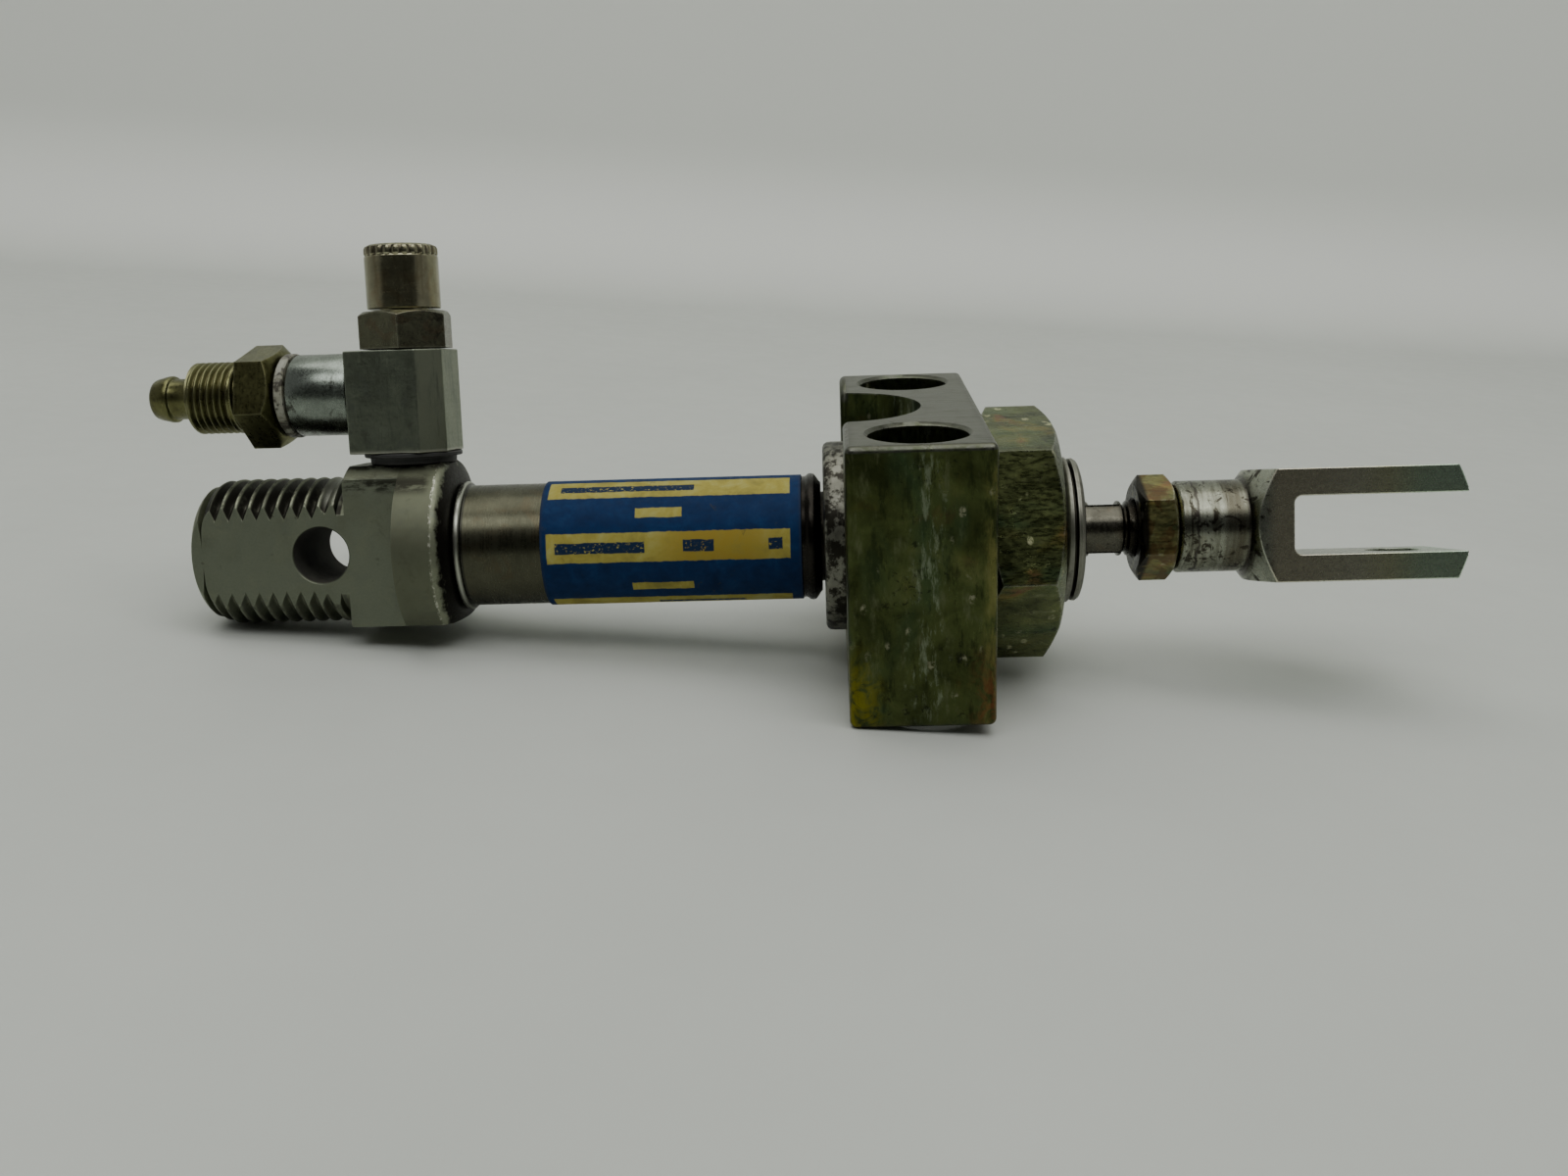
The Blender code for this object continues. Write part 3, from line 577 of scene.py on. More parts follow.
label = own(turned("label_wrap", [(-40.6, 6.77), (-40.55, 6.84), (-12.75, 6.84), (-12.7, 6.77)]),
            "cylinder", "type_label")
f = Finish("label_finish", metallic=0.0, roughness=0.6, specular=0.10)
angle, along = f.angle(), f.math("ADD", f.x, f.times(f.noise(1.4, 3.0, 0.6), 0.10))
along = f.math("SUBTRACT", along, 0.05)
wobble = f.math("ADD", angle, f.mask(f.noise(0.8, 3.0, 0.6), 0.2, 0.8, -0.6, 0.6))
inside = f.band(along, -39.9, -13.9, 0.06)


def stripe(low, high):
    return f.band(wobble, low, high, 0.5)


panels = f.times(inside, f.math("ADD", stripe(-3.6, 23.0), f.math(
    "ADD", stripe(58.5, 85.4), stripe(-74.5, -47.5)), clamp=True))


def marks(bars):
    """Generic printed bars, each (start, end, low angle, high angle)."""
    total = None
    for start, end, low, high in bars:
        one = f.times(f.band(along, start, end, 0.05), f.band(wobble, low, high, 0.5))
        total = one if total is None else f.math("ADD", total, one, clamp=True)
    return total


cream_marks = marks([(-30.4, -25.4, 36.5, 46.0), (-31.0, -24.4, -34.5, -25.5)])
ink_marks = marks([(-39.0, -29.4, 4.6, 14.6), (-25.3, -22.0, 4.8, 15.2), (-16.2, -14.7, 4.8, 15.2),
                   (-38.6, -24.2, 66.5, 75.5), (-28.5, -19.0, -64.0, -57.0)])
patchy = f.noise(0.45, 5.0, 0.65, None, 0.4)
blue = f.ramp(patchy, [(0.30, (0.003, 0.017, 0.062)), (0.55, (0.004, 0.026, 0.090)),
                       (0.75, (0.006, 0.040, 0.120))])
cream = f.ramp(patchy, [(0.30, (0.25, 0.22, 0.055)), (0.50, (0.37, 0.32, 0.070)),
                        (0.72, (0.42, 0.40, 0.14))])
colour = f.mix(f.math("MAXIMUM", panels, cream_marks), blue, cream)
amber = f.times(f.band(f.x, -27.0, -16.5, 3.0), stripe(-3.6, 23.0))
colour = f.mix(f.times(amber, f.mask(patchy, 0.3, 0.6, 0.35, 0.8)), colour, (0.30, 0.20, 0.022))
colour = f.mix(f.times(ink_marks, f.mask(f.noise(3.0, 3.0, 0.6), 0.30, 0.45)), colour,
               (0.010, 0.025, 0.060))
stain = f.mask(f.noise(0.6, 6.0, 0.7, None, 0.6), 0.62, 0.72, 0.0, 0.5)
colour = f.mix(stain, colour, (0.05, 0.05, 0.035))
rim = f.math("SUBTRACT", 1.0, f.band(f.x, -40.35, -12.95, 0.15))
colour = f.mix(f.times(rim, 0.6), colour, (0.02, 0.03, 0.06))
f.set("Base Color", colour)
f.set("Roughness", f.mask(f.noise(1.8, 5.0, 0.7), 0.3, 0.7, 0.52, 0.70))
f.bump((f.noise(0.35, 3.0, 0.5, f.stretch((0.5, 1.0, 1.0))), 0.35, 0.10),
       (f.noise(4.0, 4.0, 0.7), 0.15, 0.01))
f.dress(label)

# ---- rear cap ------------------------------------------------------------------------------
END_X, ROUND_X, ROUND_R, CAP_R = -78.8, -75.4, 3.4, 8.0
SHOULDER_X0, RIM_X, SHOULDER_R, SHOULDER_FOOT, SEAT_Z = -61.6, -51.55, 10.0, -7.9, 9.3
EYE_X, EYE_HALF, EYE_FLAT_X1 = -64.4, 6.0, -55.6
THREAD_X0, THREAD_X1, EYE_R, PORT_FACE_R, PORT_BORE_R = -77.3, -62.7, 3.0, 4.8, 2.8
LEAD = ROUND_X - THREAD_X0
head = [(END_X, 0.0)] + [(ROUND_X - v, CAP_R - ROUND_R + u) for u, v in reversed(arc(ROUND_R, 16))
                         if ROUND_X - v < THREAD_X0]
rear = screw("rear_cap_body", head, THREAD_X0, THREAD_X1, CAP_R, 1.5, 0.92, [
    (-62.5, 7.3), (SHOULDER_X0, 7.3), (SHOULDER_X0, 9.75), (SHOULDER_X0 + 0.25, SHOULDER_R),
    (RIM_X, SHOULDER_R), (RIM_X + 0.8, 9.4), (-50.2, 7.4), (-50.2, 5.75),
    (-48.2, 5.75), (-48.2, 4.6), (-46.8, 4.6), (-46.8, 5.75), (-45.2, 5.75), (-45.2, 0.0)],
    CYLINDER, 128, 12, LEAD)
for side in (-1.0, 1.0):
    low, high = sorted((side * EYE_HALF, side * 14.0))
    combine(rear, box((END_X - 2.0, low, -14.0), (EYE_FLAT_X1, high, 14.0), CYLINDER))
combine(rear, box((SHOULDER_X0 - 0.5, -9.0, SEAT_Z), (RIM_X - 0.05, 9.0, 14.0), CYLINDER))
combine(rear, bar(PORT_FACE_R, SEAT_Z, 12.0, "Z", (PORT_X, 0.0, 0.0), CYLINDER, 96))
combine(rear, box((SHOULDER_X0 - 0.5, -9.0, -14.0), (-49.0, 9.0, SHOULDER_FOOT), CYLINDER))
combine(rear, bar(EYE_R, -EYE_HALF, EYE_HALF, "Y", (EYE_X, 0.0, 0.0), CYLINDER, 64, 0.15))
combine(rear, bar(PORT_BORE_R, 1.0, 12.0, "Z", (PORT_X, 0.0, 0.0), CYLINDER, 32))
soften(rear, 0.10, 2, 50.0)
own(rear, "cylinder", "rear_cap")
f = metal("rear_cap_finish", (0.235, 0.252, 0.178), 0.50, lines=0.15, line_axis=1, grime=0.35,
          wear_and_glint=0.35, tint=(0.17, 0.185, 0.15), seed=11.0, grain=4.0, coarse=0.18)
radius = f.radial()
flat_side = f.mask(f.math("ABSOLUTE", f.y), 5.85, 5.97)
round_side = f.math("SUBTRACT", 1.0, flat_side)
threaded = f.times(f.mask(f.x, -61.9, -62.1), round_side)
eye_flat = f.times(f.times(flat_side, f.mask(f.x, -55.5, -55.7)),
                  f.mask(f.noise(0.3, 5.0, 0.65), 0.30, 0.60, 0.3, 0.9))
colour = f.mix(eye_flat, f.colour, (0.225, 0.247, 0.185))
collar = f.band(f.x, -55.65, RIM_X, 0.08)
colour = f.mix(f.times(collar, 0.7), colour, (0.125, 0.133, 0.090))
crest = f.times(threaded, f.mask(radius, 7.90, 7.98))
colour = f.mix(f.times(crest, f.mask(f.noise(1.2, 4.0, 0.7), 0.42, 0.60)), colour,
               (0.115, 0.12, 0.09))
# Thread roots painted dark: painted shade in the grooves, strongest on the upper threads and fainter
# below.
root_shade = f.times(threaded, f.mask(radius, 7.95, 7.72))
root_shade = f.times(root_shade, f.mask(f.noise(0.7, 4.0, 0.6), 0.28, 0.46, 0.7, 1.0))
root_shade = f.times(root_shade, f.mask(f.x, -77.4, -76.8))
root_shade = f.times(root_shade, f.mask(f.z, -3.0, 2.0, 0.35, 1.0))
colour = f.mix(root_shade, colour, (0.032, 0.031, 0.025))
runout = f.times(f.band(f.x, -64.2, -62.4, 0.3), f.mask(f.z, 4.8, 6.4))
colour = f.mix(f.times(runout, f.mask(f.noise(0.5, 2.0, 0.4), 0.30, 0.70, 0.55, 0.9)),
               colour, (0.30, 0.31, 0.26))
along = f.math("SUBTRACT", f.x, EYE_X)
eye_radius = f.math("SQRT", f.math("ADD", f.times(along, along), f.times(f.z, f.z)))
# Inside of the eye bore painted near black, matte and non-metallic: painted shade in the hole.
eye_bore_shade = f.times(f.mask(eye_radius, 3.25, 3.12), f.mask(f.math("ABSOLUTE", f.y), 5.98, 5.7))
colour = f.mix(f.times(eye_bore_shade, f.mask(f.noise(0.7, 4.0, 0.7), 0.25, 0.60, 1.0, 0.85)), colour,
               (0.016, 0.013, 0.010))
end_wear = f.times(f.mask(f.x, -80.9, -81.6), f.mask(f.noise(0.7, 4.0, 0.7), 0.36, 0.56, 0.2, 0.9))
colour = f.mix(f.times(end_wear, round_side), colour, (0.31, 0.32, 0.26))
pits = f.times(eye_flat, f.mask(f.noise(0.75, 3.0, 0.6, f.place, 0.4), 0.68, 0.74, 0.0, 0.6))
colour = f.mix(pits, colour, (0.06, 0.06, 0.045))
rim_wear = f.times(f.band(f.x, RIM_X - 0.15, RIM_X + 0.12, 0.06),
                  f.mask(f.noise(1.6, 5.0, 0.75), 0.50, 0.60))
colour = f.mix(rim_wear, colour, (0.50, 0.50, 0.42))
strip = f.times(f.band(f.z, 6.6, 8.2, 0.6), f.band(f.x, -61.5, -52.2, 0.5))
strip = f.times(strip, f.mask(f.noise(0.6, 5.0, 0.7, f.stretch((0.5, 1.0, 1.6))),
                                         0.36, 0.54, 0.0, 0.9))
colour = f.mix(strip, colour, (0.035, 0.034, 0.026))
grease_edge = f.math("ADD", f.x, f.mask(f.noise(0.7, 4.0, 0.65), 0.2, 0.8, -0.35, 0.35))
grease = f.times(f.mask(grease_edge, -51.1, -50.7),
                f.mask(f.noise(0.45, 3.0, 0.6), 0.18, 0.32))
seat = f.times(f.mask(f.z, 8.6, 9.2), f.mask(f.noise(0.8, 4.0, 0.65), 0.40, 0.52))
grease = f.math("MAXIMUM", grease, f.times(seat, 0.85))
colour = f.mix(grease, colour, (0.018, 0.016, 0.013))
f.set("Base Color", colour)
f.set("Roughness", f.blend(eye_bore_shade, f.blend(collar, f.rough, 0.6), 0.95))
f.set("Metallic", f.math("SUBTRACT", 1.0, eye_bore_shade))
f.dress(rear)

# ---- front cap -----------------------------------------------------------------------------
front = screw("front_cap_body", [
    (13.4, 5.3), (13.4, 4.5), (-16.5, 4.5), (-16.5, 5.75), (-15.2, 5.75), (-15.2, 4.9), (-13.8, 4.9),
    (-13.8, 5.75), (-12.4, 5.75), (-11.8, 4.9), (-10.3, 4.9), (-10.3, 9.75), (-10.15, 10.1),
    (-9.85, 10.3), (-9.4, 10.35), (-6.2, 10.35), (-6.2, 8.8), (-0.3, 8.8), (-0.3, 7.3),
    (1.0, 7.3)], 1.3, 15.9, 7.95, 1.5, 0.9, [
    (16.0, 7.1), (16.25, 7.1), (16.4, 7.75), (16.75, 7.8), (17.05, 7.6), (17.2, 7.2), (17.2, 5.3)],
    CYLINDER, 112, 10)
own(front, "cylinder", "front_cap")
f = metal("front_cap_finish", (0.22, 0.22, 0.18), 0.42, lines=0.6, line_axis=0, grime=0.5, wear_and_glint=0.4,
          seed=23.0)
radius = f.radial()
nose = f.times(f.mask(f.x, 14.3, 14.5), f.mask(radius, 7.75, 7.3))
collar = f.times(f.mask(f.x, -5.0, -7.0), f.mask(f.noise(0.6, 5.0, 0.7), 0.44, 0.56))
recess = f.mask(radius, 6.9, 6.3)
colour = f.mix(f.math("MAXIMUM", nose, f.math("MAXIMUM", collar, recess)), f.colour,
               (0.03, 0.028, 0.022))
f.set("Base Color", colour)
f.dress(front)

# ---- rod, jam nut and clevis ---------------------------------------------------------------
rod = turned("rod_bar", [(-36.3, 0.0), (-36.3, 3.0), (21.9, 3.0), (22.1, 2.6), (22.4, 2.6),
                         (22.6, 3.0), (37.4, 3.0), (37.9, 2.5), (37.9, 0.0)], FORK, 64)
for side in (-1.0, 1.0):
    low, high = sorted((side * 2.5, side * 4.0))
    combine(rod, box((18.4, -4.0, low), (21.6, 4.0, high), FORK))
soften(rod, 0.18, 3, 25.0)
own(rod, "rod", "piston_rod")
f = metal("rod_finish", (0.095, 0.092, 0.072), 0.26, lines=0.4, line_axis=0, grime=0.85, wear_and_glint=0.5,
          tint=(0.10, 0.085, 0.06), seed=31.0, coarse=0.5)
oily = f.times(f.band(f.x, 21.7, 24.0, 0.3), f.mask(f.noise(0.8, 4.0, 0.7), 0.30, 0.45))
f.set("Base Color", f.mix(oily, f.colour, (0.018, 0.016, 0.012)))
f.dress(rod)

JAM_FLATS, JAM_BORE_R, JAM_X0, JAM_X1, JAM_END_R = 10.0, 3.12, 23.4, 27.45, 4.75
jam = nut("jam_nut", JAM_FLATS, JAM_BORE_R, JAM_X0, JAM_X1, JAM_END_R, ROLL_JAM)
own(jam, "rod", "rod_jam_nut")
f = chromate("jam_nut_finish", 77.0, (0.20, 0.19, 0.075), 0, level=1.15)
oily = f.times(f.mask(f.x, 24.5, 24.0), f.mask(f.noise(0.7, 4.0, 0.7), 0.28, 0.45))
brown = f.mask(f.noise(0.35, 4.0, 0.6, f.place, 0.6), 0.50, 0.58, 0.0, 0.75)
colour = f.mix(brown, f.colour, (0.120, 0.072, 0.030))
f.set("Base Color", f.mix(oily, colour, (0.020, 0.018, 0.013)))
f.dress(jam)

TIP_X, ROOT_X, ROOT_R, PIN_X = 57.2, 39.2, 0.8, 51.5
fork = turned("fork", [(27.65, 0.0), (27.65, 4.65), (28.0, 5.0), (34.95, 5.0), (35.05, 5.4),
                       (37.4, 8.49), (TIP_X - 1.0, 8.49), (TIP_X, 6.9), (TIP_X, 0.0)], FORK, 128)
combine(fork, box((26.9, -6.0, -6.0), (TIP_X + 1.0, 6.0, 6.0), FORK), "INTERSECT")
slot = [(TIP_X + 2.0, -3.1), (TIP_X + 2.0, 3.1)]
slot += [(ROOT_X + ROOT_R - v, 3.1 - ROOT_R + u) for u, v in arc(ROOT_R, 6)]
slot += [(ROOT_X + ROOT_R - v, -3.1 + ROOT_R - u) for u, v in reversed(arc(ROOT_R, 6))]
combine(fork, prism("cutter", slot, "Y", -9.0, 9.0, FORK))
combine(fork, bar(3.12, 25.0, 40.5, "X", place=FORK, segments=48))
combine(fork, bar(3.0, -6.0, 6.0, "Z", (PIN_X, 0.0, 0.0), FORK, 64, 0.2))
soften(fork, 0.12, 2, 28.0, clamp=False)
own(fork, "rod", "rod_clevis")
f = metal("clevis_finish", (0.40, 0.42, 0.345), 0.27, lines=0.15, line_axis=2, grime=0.0, wear_and_glint=0.9,
          tint=(0.34, 0.34, 0.25), seed=53.0, coarse=0.35, relief=0.2)
neck_zone = f.mask(f.x, 36.0, 34.8)
bands = f.noise(0.9, 5.0, 0.7, f.stretch((1.0, 0.14, 0.14)))
colour = f.mix(f.times(neck_zone, f.mask(bands, 0.40, 0.60, 0.50, 0.95)), f.colour,
               (0.125, 0.125, 0.092))
rings = f.times(neck_zone, f.mask(f.noise(1.5, 4.0, 0.7, f.stretch((1.0, 0.05, 0.05))), 0.55, 0.62))
rings = f.times(rings, f.mask(f.noise(0.4, 3.0, 0.6), 0.38, 0.58, 0.2, 0.9))
colour = f.mix(rings, colour, (0.045, 0.042, 0.030))
stained = f.times(f.band(f.x, 32.3, 34.4, 0.25), f.mask(bands, 0.30, 0.55, 0.45, 0.8))
colour = f.mix(stained, colour, (0.085, 0.078, 0.055))
spots = f.times(f.mask(f.x, 39.5, 36.0), f.mask(f.noise(0.42, 5.0, 0.7, None, 1.6), 0.53, 0.58))
colour = f.mix(f.times(spots, 0.92), colour, (0.030, 0.026, 0.018))
groove = f.band(f.math("ADD", f.x, f.mask(f.noise(0.5, 3.0), 0.2, 0.8, -0.3, 0.3)), 29.2, 29.5, 0.08)
colour = f.mix(f.times(groove, 0.8), colour, (0.04, 0.035, 0.03))
front_face = f.times(f.mask(f.y, -5.8, -5.95), f.mask(f.x, 36.0, 37.6))
sheen = f.ramp(f.mask(f.x, 38.0, 57.2), [(0.0, (0.59, 0.55, 0.41)), (0.35, (0.65, 0.64, 0.49)),
                                         (0.6, (0.66, 0.67, 0.44)), (0.85, (0.56, 0.70, 0.50))])
colour = f.mix(f.times(front_face, 0.9), colour, sheen)
# Rounded edges at the neck cone painted near white: painted edge glint.
colour = f.mix(f.times(f.edges(0.25), f.mask(f.x, 35.5, 37.0)), colour, (0.80, 0.82, 0.72))
tip = f.times(f.mask(f.x, 50.0, 57.0), f.mask(f.noise(0.4, 3.0, 0.6), 0.3, 0.6, 0.3, 0.7))
colour = f.mix(tip, colour, (0.50, 0.66, 0.52))
root_line = f.times(f.band(f.x, 34.7, 35.4, 0.15), f.mask(f.radial(), 5.6, 5.3))
colour = f.mix(f.times(root_line, 0.8), colour, (0.04, 0.035, 0.03))
f.set("Base Color", colour)
f.dress(fork)

# ---- banjo air connection ------------------------------------------------------------------
washer = own(turned("seal_washer", [(9.35, 2.9), (9.35, 4.5), (9.45, 4.6), (10.05, 4.65),
                                    (10.1, 5.15), (10.2, 5.25), (10.48, 5.25), (10.57, 5.15),
                                    (10.57, 2.9)], PORT, 96, "Z"),
             "cylinder", "port_washer")
soft("washer_finish", (0.018, 0.018, 0.017), 0.6).dress(washer)

BANJO_Z0, BANJO_Z1, SCREW_BORE_R = 10.6, 21.6, 2.9
banjo = prism("banjo_body", [(-5.3, -5.0), (2.6, -5.0), (4.8, -2.6), (4.8, 2.6), (2.6, 5.0),
                             (-5.3, 5.0)], "Z", BANJO_Z0, BANJO_Z1, BANJO)
combine(banjo, bar(SCREW_BORE_R, BANJO_Z0, BANJO_Z1, "Z", place=BANJO, segments=64, flare=0.2))
soften(banjo, 0.16, 3, 25.0, clamp=False)
own(banjo, "valve", "valve_body")
# The banjo's lightened edges are a painted edge highlight on its bevels.
f = metal("banjo_finish", (0.190, 0.213, 0.163), 0.38, lines=0.5, line_axis=2, grime=0.35, wear_and_glint=0.6,
          tint=(0.14, 0.155, 0.13), seed=61.0, grain=3.5)
foot = f.times(f.band(f.z, 10.2, 10.9, 0.15), 0.7)
# Faces turned towards +X, the chamfer and the right face, are painted lighter: painted light falling from
# the right.
side = f.node("ShaderNodeSeparateXYZ")
f.wire(f.normal, side.inputs[0])
colour = f.mix(f.mask(side.outputs[0], 0.45, 0.65, 0.0, 0.7), f.colour, (0.235, 0.255, 0.185))
brushed = f.mask(f.noise(1.4, 5.0, 0.7, f.stretch((1.0, 1.0, 0.12))), 0.50, 0.66, 0.0, 0.5)
colour = f.mix(brushed, colour, (0.105, 0.118, 0.092))
f.set("Base Color", f.mix(foot, colour, (0.45, 0.45, 0.38)))
f.dress(banjo)

stub = own(turned("banjo_neck", [
    (-67.8, 3.1), (-67.8, 4.25), (-67.7, 4.38), (-67.55, 4.45), (-61.2, 4.45), (-60.95, 4.3),
    (-60.85, 4.1), (-60.85, 1.5), (-64.5, 1.5), (-64.5, 3.1)], NECK, 96),
    "valve", "valve_neck")
f = metal("neck_finish", (0.23, 0.26, 0.225), 0.28, lines=0.35, line_axis=0, grime=0.9, wear_and_glint=0.5,
          seed=67.0, grain=5.0, coarse=0.5)
# Underside of the neck painted darker, broken up by noise: painted shade.
underside_shade = f.times(f.mask(f.z, -1.5, -3.6), f.mask(f.noise(0.9, 5.0, 0.75), 0.40, 0.52))
f.set("Base Color", f.mix(f.times(underside_shade, 0.85), f.colour, (0.05, 0.05, 0.04)))
f.dress(stub)

ring = own(turned("fitting_ring", [(-69.0, 3.0), (-69.0, 4.4), (-68.85, 4.6), (-68.15, 4.6),
                                   (-68.0, 4.45), (-68.0, 3.0)], NECK, 80),
           "valve", "fitting_seal_ring")
f = Finish("ring_finish", metallic=0.0, roughness=0.5)
soot = f.mask(f.noise(0.8, 5.0, 0.7, None, 0.8), 0.46, 0.58, 0.0, 0.92)
colour = f.ramp(f.noise(0.5, 4.0, 0.6), [(0.35, (0.16, 0.15, 0.09)), (0.60, (0.34, 0.34, 0.28))])
f.set("Base Color", f.mix(soot, colour, (0.030, 0.024, 0.016)))
f.bump((f.noise(3.0, 4.0, 0.7), 0.3, 0.02), (soot, 0.4, 0.05))
f.dress(ring)

HOSE_HEX_X1 = -69.3
hose = screw("hose_fitting_body", [
    (-64.8, 1.0), (-84.7, 1.0), (-84.7, 1.95), (-84.55, 2.15), (-84.2, 2.3), (-83.0, 2.58),
    (-82.65, 2.58), (-82.5, 2.5), (-82.42, 2.25), (-79.9, 2.25), (-79.75, 2.35), (-79.6, 3.3)],
    -79.5, -74.2, 3.95, 0.75, 0.42, [(-74.1, 3.55), (-73.2, 3.6), (-73.2, 5.78),
                                    (HOSE_HEX_X1, 5.78), (HOSE_HEX_X1, 2.7), (-64.8, 2.7)],
    NECK, 80, 12)
combine(hose, prism("cutter", hexagon(10.0), "X", -86.0, -60.0, NECK), "INTERSECT")
combine(hose, turned("cutter", [(-90.0, 0.0), (-90.0, 7.0), (HOSE_HEX_X1 - 0.9, 5.9),
                                (HOSE_HEX_X1, 4.7), (-60.0, 4.7), (-60.0, 0.0)], NECK, 96),
        "INTERSECT")
soften(hose, 0.10, 2, 40.0)
hose.data.transform(Matrix.Rotation(ROLL_FITTING - ROLL_CYLINDER, 4, "X"))
own(hose, "valve", "hose_fitting")
f = metal("hose_brass", (0.138, 0.138, 0.058), 0.32, lines=0.5, line_axis=0, grime=0.55, wear_and_glint=0.7,
          tint=(0.085, 0.08, 0.03), seed=71.0, coarse=0.4)
threaded = f.times(f.band(f.x, -79.6, -74.0, 0.1), f.mask(f.radial(), 3.85, 3.5))
f.set("Base Color", f.mix(f.times(threaded, 0.7), f.colour, (0.06, 0.05, 0.02)))
f.dress(hose)

HEX_Z0, HEX_Z1, SILENCER_Z1 = 21.75, 25.75, 32.8
bolt = turned("banjo_screw", [
    (4.6, 1.2), (4.6, 2.3), (4.8, 2.5), (HEX_Z0, 2.5), (HEX_Z0, 6.0), (HEX_Z1, 6.0),
    (HEX_Z1, 2.9), (23.4, 2.9), (23.4, 1.2)], PORT, 96, "Z")
combine(bolt, prism("cutter", hexagon(9.1, TURN_SILENCER - math.pi / 2.0), "Z", 4.0, HEX_Z1 + 1.0,
                    PORT), "INTERSECT")
combine(bolt, turned("cutter", [(0.0, 0.0), (0.0, 7.0), (HEX_Z1 - 0.7, 5.6), (HEX_Z1, 4.35),
                                (HEX_Z1, 0.0)], PORT, 96, "Z"), "INTERSECT")
soften(bolt, 0.10, 2, 22.0)
own(bolt, "cylinder", "hollow_screw")
metal("screw_finish", (0.135, 0.137, 0.090), 0.30, lines=0.3, line_axis=2, grime=0.8, wear_and_glint=0.9,
      tint=(0.13, 0.105, 0.065), seed=83.0, coarse=0.6).dress(bolt)

can = turned("silencer_can", [
    (23.7, 1.2), (23.7, 2.6), (26.0, 2.6), (26.0, 3.85), (26.1, 3.92), (31.5, 3.92), (31.62, 3.82),
    (31.72, 3.86), (31.8, 3.92), (32.35, 3.9), (32.6, 3.75), (SILENCER_Z1, 3.35),
    (SILENCER_Z1 - 0.05, 3.0), (26.6, 3.0), (26.6, 1.2)], PORT, 144, "Z")
TEETH = 24
for vert in can.data.vertices:
    height, reach = vert.co.z / MM, math.hypot(vert.co.x, vert.co.y) / MM
    if 31.7 < height < 32.7 and reach > 3.6:
        wave = math.cos(TEETH * math.atan2(vert.co.y, vert.co.x))
        scale = 1.0 - 0.045 * max(0.0, wave) ** 0.6
        vert.co.x *= scale
        vert.co.y *= scale
own(can, "cylinder", "silencer_body")
f = metal("silencer_finish", (0.28, 0.27, 0.175), 0.24, lines=0.35, line_axis=2, grime=0.0, wear_and_glint=0.5,
          tint=(0.23, 0.19, 0.11), seed=89.0, coarse=0.45, relief=0.3)
radius = f.math("SQRT", f.math("ADD", f.times(f.x, f.x), f.times(f.y, f.y)))
notches = f.times(f.band(f.z, 31.65, 32.55, 0.08), f.mask(radius, 3.82, 3.74))
notches = f.times(notches, f.mask(radius, 3.4, 3.5))
streaks = f.noise(1.3, 5.0, 0.7, f.stretch((1.0, 1.0, 0.10)))
colour = f.mix(f.mask(streaks, 0.52, 0.66, 0.0, 0.65), f.colour, (0.16, 0.14, 0.08))
colour = f.mix(f.mask(f.noise(0.9, 5.0, 0.75), 0.64, 0.72, 0.0, 0.7), colour, (0.07, 0.06, 0.035))
f.set("Base Color", f.mix(f.times(notches, 0.85), colour, (0.06, 0.05, 0.035)))
f.dress(can)

# ---- spring, wiper and sintered plug ---------------------------------------------------------
SPRING_X0, SPRING_X1, COIL_R, WIRE_R, COILS, STROKE = -35.7, -17.1, 5.0, 0.45, 7, 10.0
COIL_STEPS, WIRE_SIDES = 48, 12
bm = bmesh.new()
rings = []
for k in range(COILS * COIL_STEPS + 1):
    turn = 2.0 * math.pi * k / COIL_STEPS
    station = SPRING_X0 + WIRE_R + (SPRING_X1 - SPRING_X0 - 2.0 * WIRE_R) * k / (COILS * COIL_STEPS)
    ring = []
    for side in range(WIRE_SIDES):
        around = 2.0 * math.pi * side / WIRE_SIDES
        reach = COIL_R + WIRE_R * math.cos(around)
        ring.append(bm.verts.new(((station + WIRE_R * math.sin(around)) * MM,
                                  reach * math.cos(turn) * MM, reach * math.sin(turn) * MM)))
    rings.append(ring)
for a, b in zip(rings, rings[1:]):
    for k in range(WIRE_SIDES):
        n = (k + 1) % WIRE_SIDES
        bm.faces.new([a[k], a[n], b[n], b[k]])
bm.faces.new(rings[0])
bm.faces.new(rings[-1])
spring = own(piece("spring_coil", bm, AXIS), "cylinder", "return_spring")
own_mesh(spring)
metal("spring_finish", (0.36, 0.36, 0.37), 0.32, lines=0.2, grime=0.4, grain=5.0).dress(spring)

wiper = own(turned("wiper_ring", [
    (13.7, 3.3), (13.7, 4.9), (13.8, 5.0), (16.45, 5.0), (16.6, 4.9), (16.62, 4.3), (16.75, 3.8),
    (16.97, 3.5), (16.97, 3.35), (16.85, 3.2), (16.3, 3.2), (15.9, 3.35)], AXIS, 64),
    "cylinder", "rod_wiper")
plug = own(turned("sintered_plug", [(26.9, 0.0), (26.9, 2.6), (27.0, 2.7), (32.1, 2.7), (32.25, 2.6),
                                    (32.3, 2.4), (32.3, 0.0)], PORT, 48, "Z"),
           "cylinder", "silencer_insert")
soft("wiper_finish", (0.020, 0.020, 0.019), 0.62).dress(wiper)
f = metal("sinter_finish", (0.36, 0.28, 0.16), 0.62, lines=0.0, grime=0.5, wear_and_glint=0.3, grain=9.0)
f.bump((f.cells(3.2), 0.9, 0.08), (f.noise(9.0, 3.0, 0.7), 0.4, 0.03))
f.dress(plug)

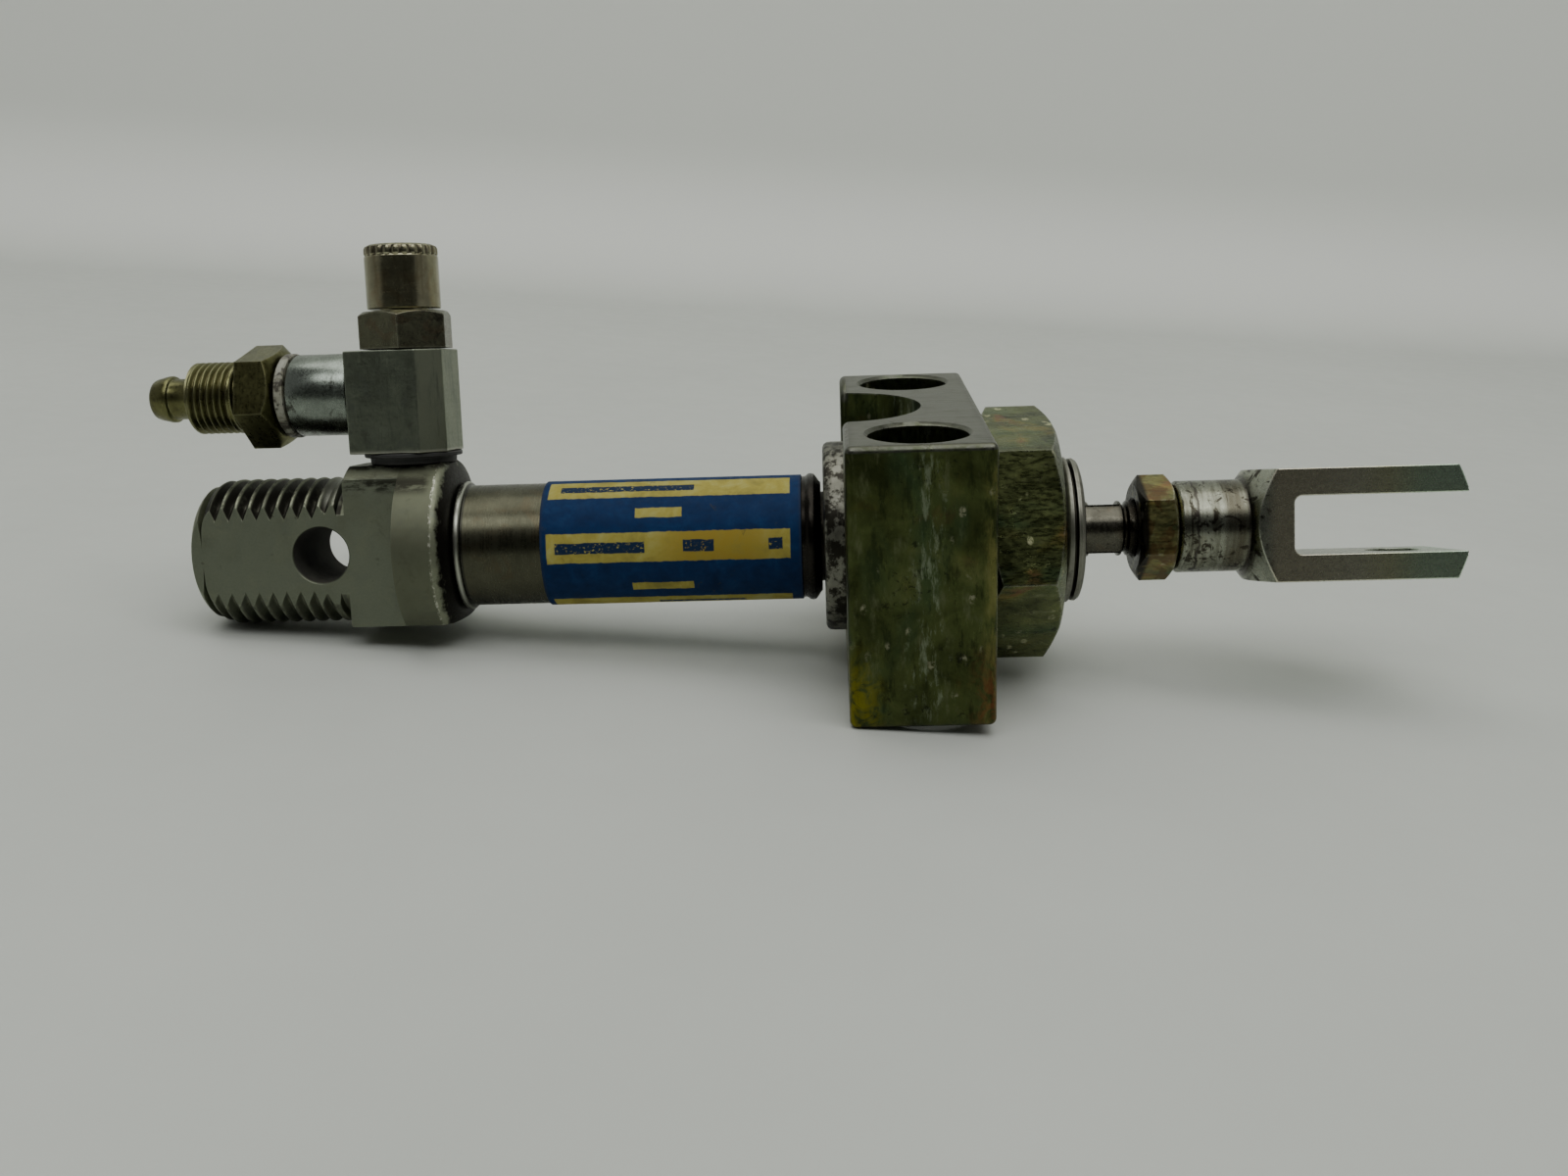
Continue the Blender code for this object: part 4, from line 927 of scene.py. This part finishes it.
# ---- pieces kept as they are in the frame ----------------------------------------------------
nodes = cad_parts
soft("black_rubber", (0.020, 0.020, 0.019), 0.62).dress(
    nodes["rear_cap_oring"], nodes["front_cap_oring"], nodes["piston_seal"])
soft("buffer_rubber", (0.20, 0.09, 0.04), 0.5).dress(nodes["rear_buffer"], nodes["front_buffer"])
soft("acetal", (0.80, 0.79, 0.74), 0.45, 3.0).dress(nodes["piston_guide_ring"])
metal("bush_finish", (0.45, 0.32, 0.16), 0.5, lines=0.2, grime=0.6, wear_and_glint=0.3, grain=6.0).dress(
    nodes["rod_bearing_bush"])
metal("piston_finish", (0.62, 0.62, 0.59), 0.34, lines=0.9, line_axis=0, grime=0.2).dress(
    nodes["piston"])

# ---- floor, light and camera -----------------------------------------------------------------
# The floor is tilted about the block's rear lower edge, so that the threaded rear cap rests on it.
FLOOR_HALF, FLOOR_FRONT, FLOOR_BACK, SWEEP_R, WALL_TOP = 1.6, -1.2, 0.31, 0.05, 1.2
TIP_EDGE_X, REST_X, REST_Z = (BLOCK_X0 + SHIFT_X) * MM, -0.0745, 0.0063
TIP = math.atan2(REST_Z, TIP_EDGE_X - REST_X)
bm = bmesh.new()
rail = [(FLOOR_FRONT, 0.0), (FLOOR_BACK, 0.0)]
rail += [(FLOOR_BACK + SWEEP_R * math.sin(math.radians(a)), SWEEP_R - SWEEP_R * math.cos(math.radians(a)))
         for a in range(6, 91, 6)]
rail.append((FLOOR_BACK + SWEEP_R, WALL_TOP))
rows = [[bm.verts.new((x, y, z)) for x in (-FLOOR_HALF, FLOOR_HALF)] for y, z in rail]
for a, b in zip(rows, rows[1:]):
    bm.faces.new([a[0], a[1], b[1], b[0]])
floor = piece("floor_sweep", bm, Matrix.Translation((TIP_EDGE_X, 0.0, 0.0)) @ Matrix.Rotation(TIP, 4, "Y"))
f = Finish("floor_finish", metallic=0.0, roughness=0.55, specular=0.3)
mottled = f.noise(0.012, 4.0, 0.6)
table = f.ramp(mottled, [(0.35, (0.545, 0.570, 0.530)), (0.65, (0.575, 0.600, 0.560))])
# The upright part of the sweep is painted brighter than the table: painted light on the backdrop.
lit_upright = f.mask(f.y, FLOOR_BACK / MM, (FLOOR_BACK + SWEEP_R) / MM)
f.set("Base Color", f.mix(lit_upright, table, (0.86, 0.885, 0.83)))
f.set("Roughness", f.mask(f.noise(0.2, 4.0, 0.6), 0.3, 0.7, 0.48, 0.60))
f.bump((f.noise(0.9, 4.0, 0.6), 0.05, 0.05))
f.dress(floor)


def lamp(name, energy, size, place, target, colour=(1.0, 1.0, 1.0)):
    light = bpy.data.lights.new(name, "AREA")
    light.energy, light.shape, light.color = energy, "RECTANGLE", colour
    light.size, light.size_y = size
    obj = bpy.data.objects.new(name, light)
    bpy.context.scene.collection.objects.link(obj)
    obj.location = place
    obj.rotation_euler = (Vector(target) - Vector(place)).to_track_quat("-Z", "Y").to_euler()
    return obj


lamp("top_light", 7.5, (1.8, 0.6), (0.05, 0.06, 0.85), (0.0, 0.0, 0.0), (1.0, 0.995, 0.97))
lamp("front_light", 2.0, (0.7, 0.3), (-0.10, -0.45, 0.75), (0.0, 0.0, 0.01))
for side in (-1.0, 1.0):
    lamp("side_light", 0.35, (0.8, 0.6), (side * 0.6, 0.0, 0.25), (0.0, 0.0, 0.02))

world = bpy.data.worlds.new("studio")
world.use_nodes = True
bpy.context.scene.world = world
sky = world.node_tree.nodes["Background"]
sky.inputs["Color"].default_value = (0.80, 0.83, 0.78, 1.0)
sky.inputs["Strength"].default_value = 0.05

FOCAL_OVER_WIDTH, SENSOR = 1507.9 / 1600.0, 36.0
PITCH, YAW, TILT = math.radians(17.344), math.radians(-2.025), math.radians(-2.048)
forward = Vector((math.sin(YAW) * math.cos(PITCH), math.cos(YAW) * math.cos(PITCH), -math.sin(PITCH)))
right = Vector((math.cos(YAW), -math.sin(YAW), 0.0))
up = right.cross(forward)
camera_right = right * math.cos(TILT) + up * math.sin(TILT)
camera_up = up * math.cos(TILT) - right * math.sin(TILT)
CAMERA_AT = (-0.008557, -0.157269, 0.057553)
lens = bpy.data.cameras.new("camera")
lens.sensor_width, lens.lens = SENSOR, SENSOR * FOCAL_OVER_WIDTH
lens.clip_start = 0.005
camera = bpy.data.objects.new("camera", lens)
bpy.context.scene.collection.objects.link(camera)
camera.matrix_world = Matrix.Translation(CAMERA_AT) @ Matrix(
    (camera_right, camera_up, -forward)).transposed().to_4x4()
bpy.context.scene.camera = camera
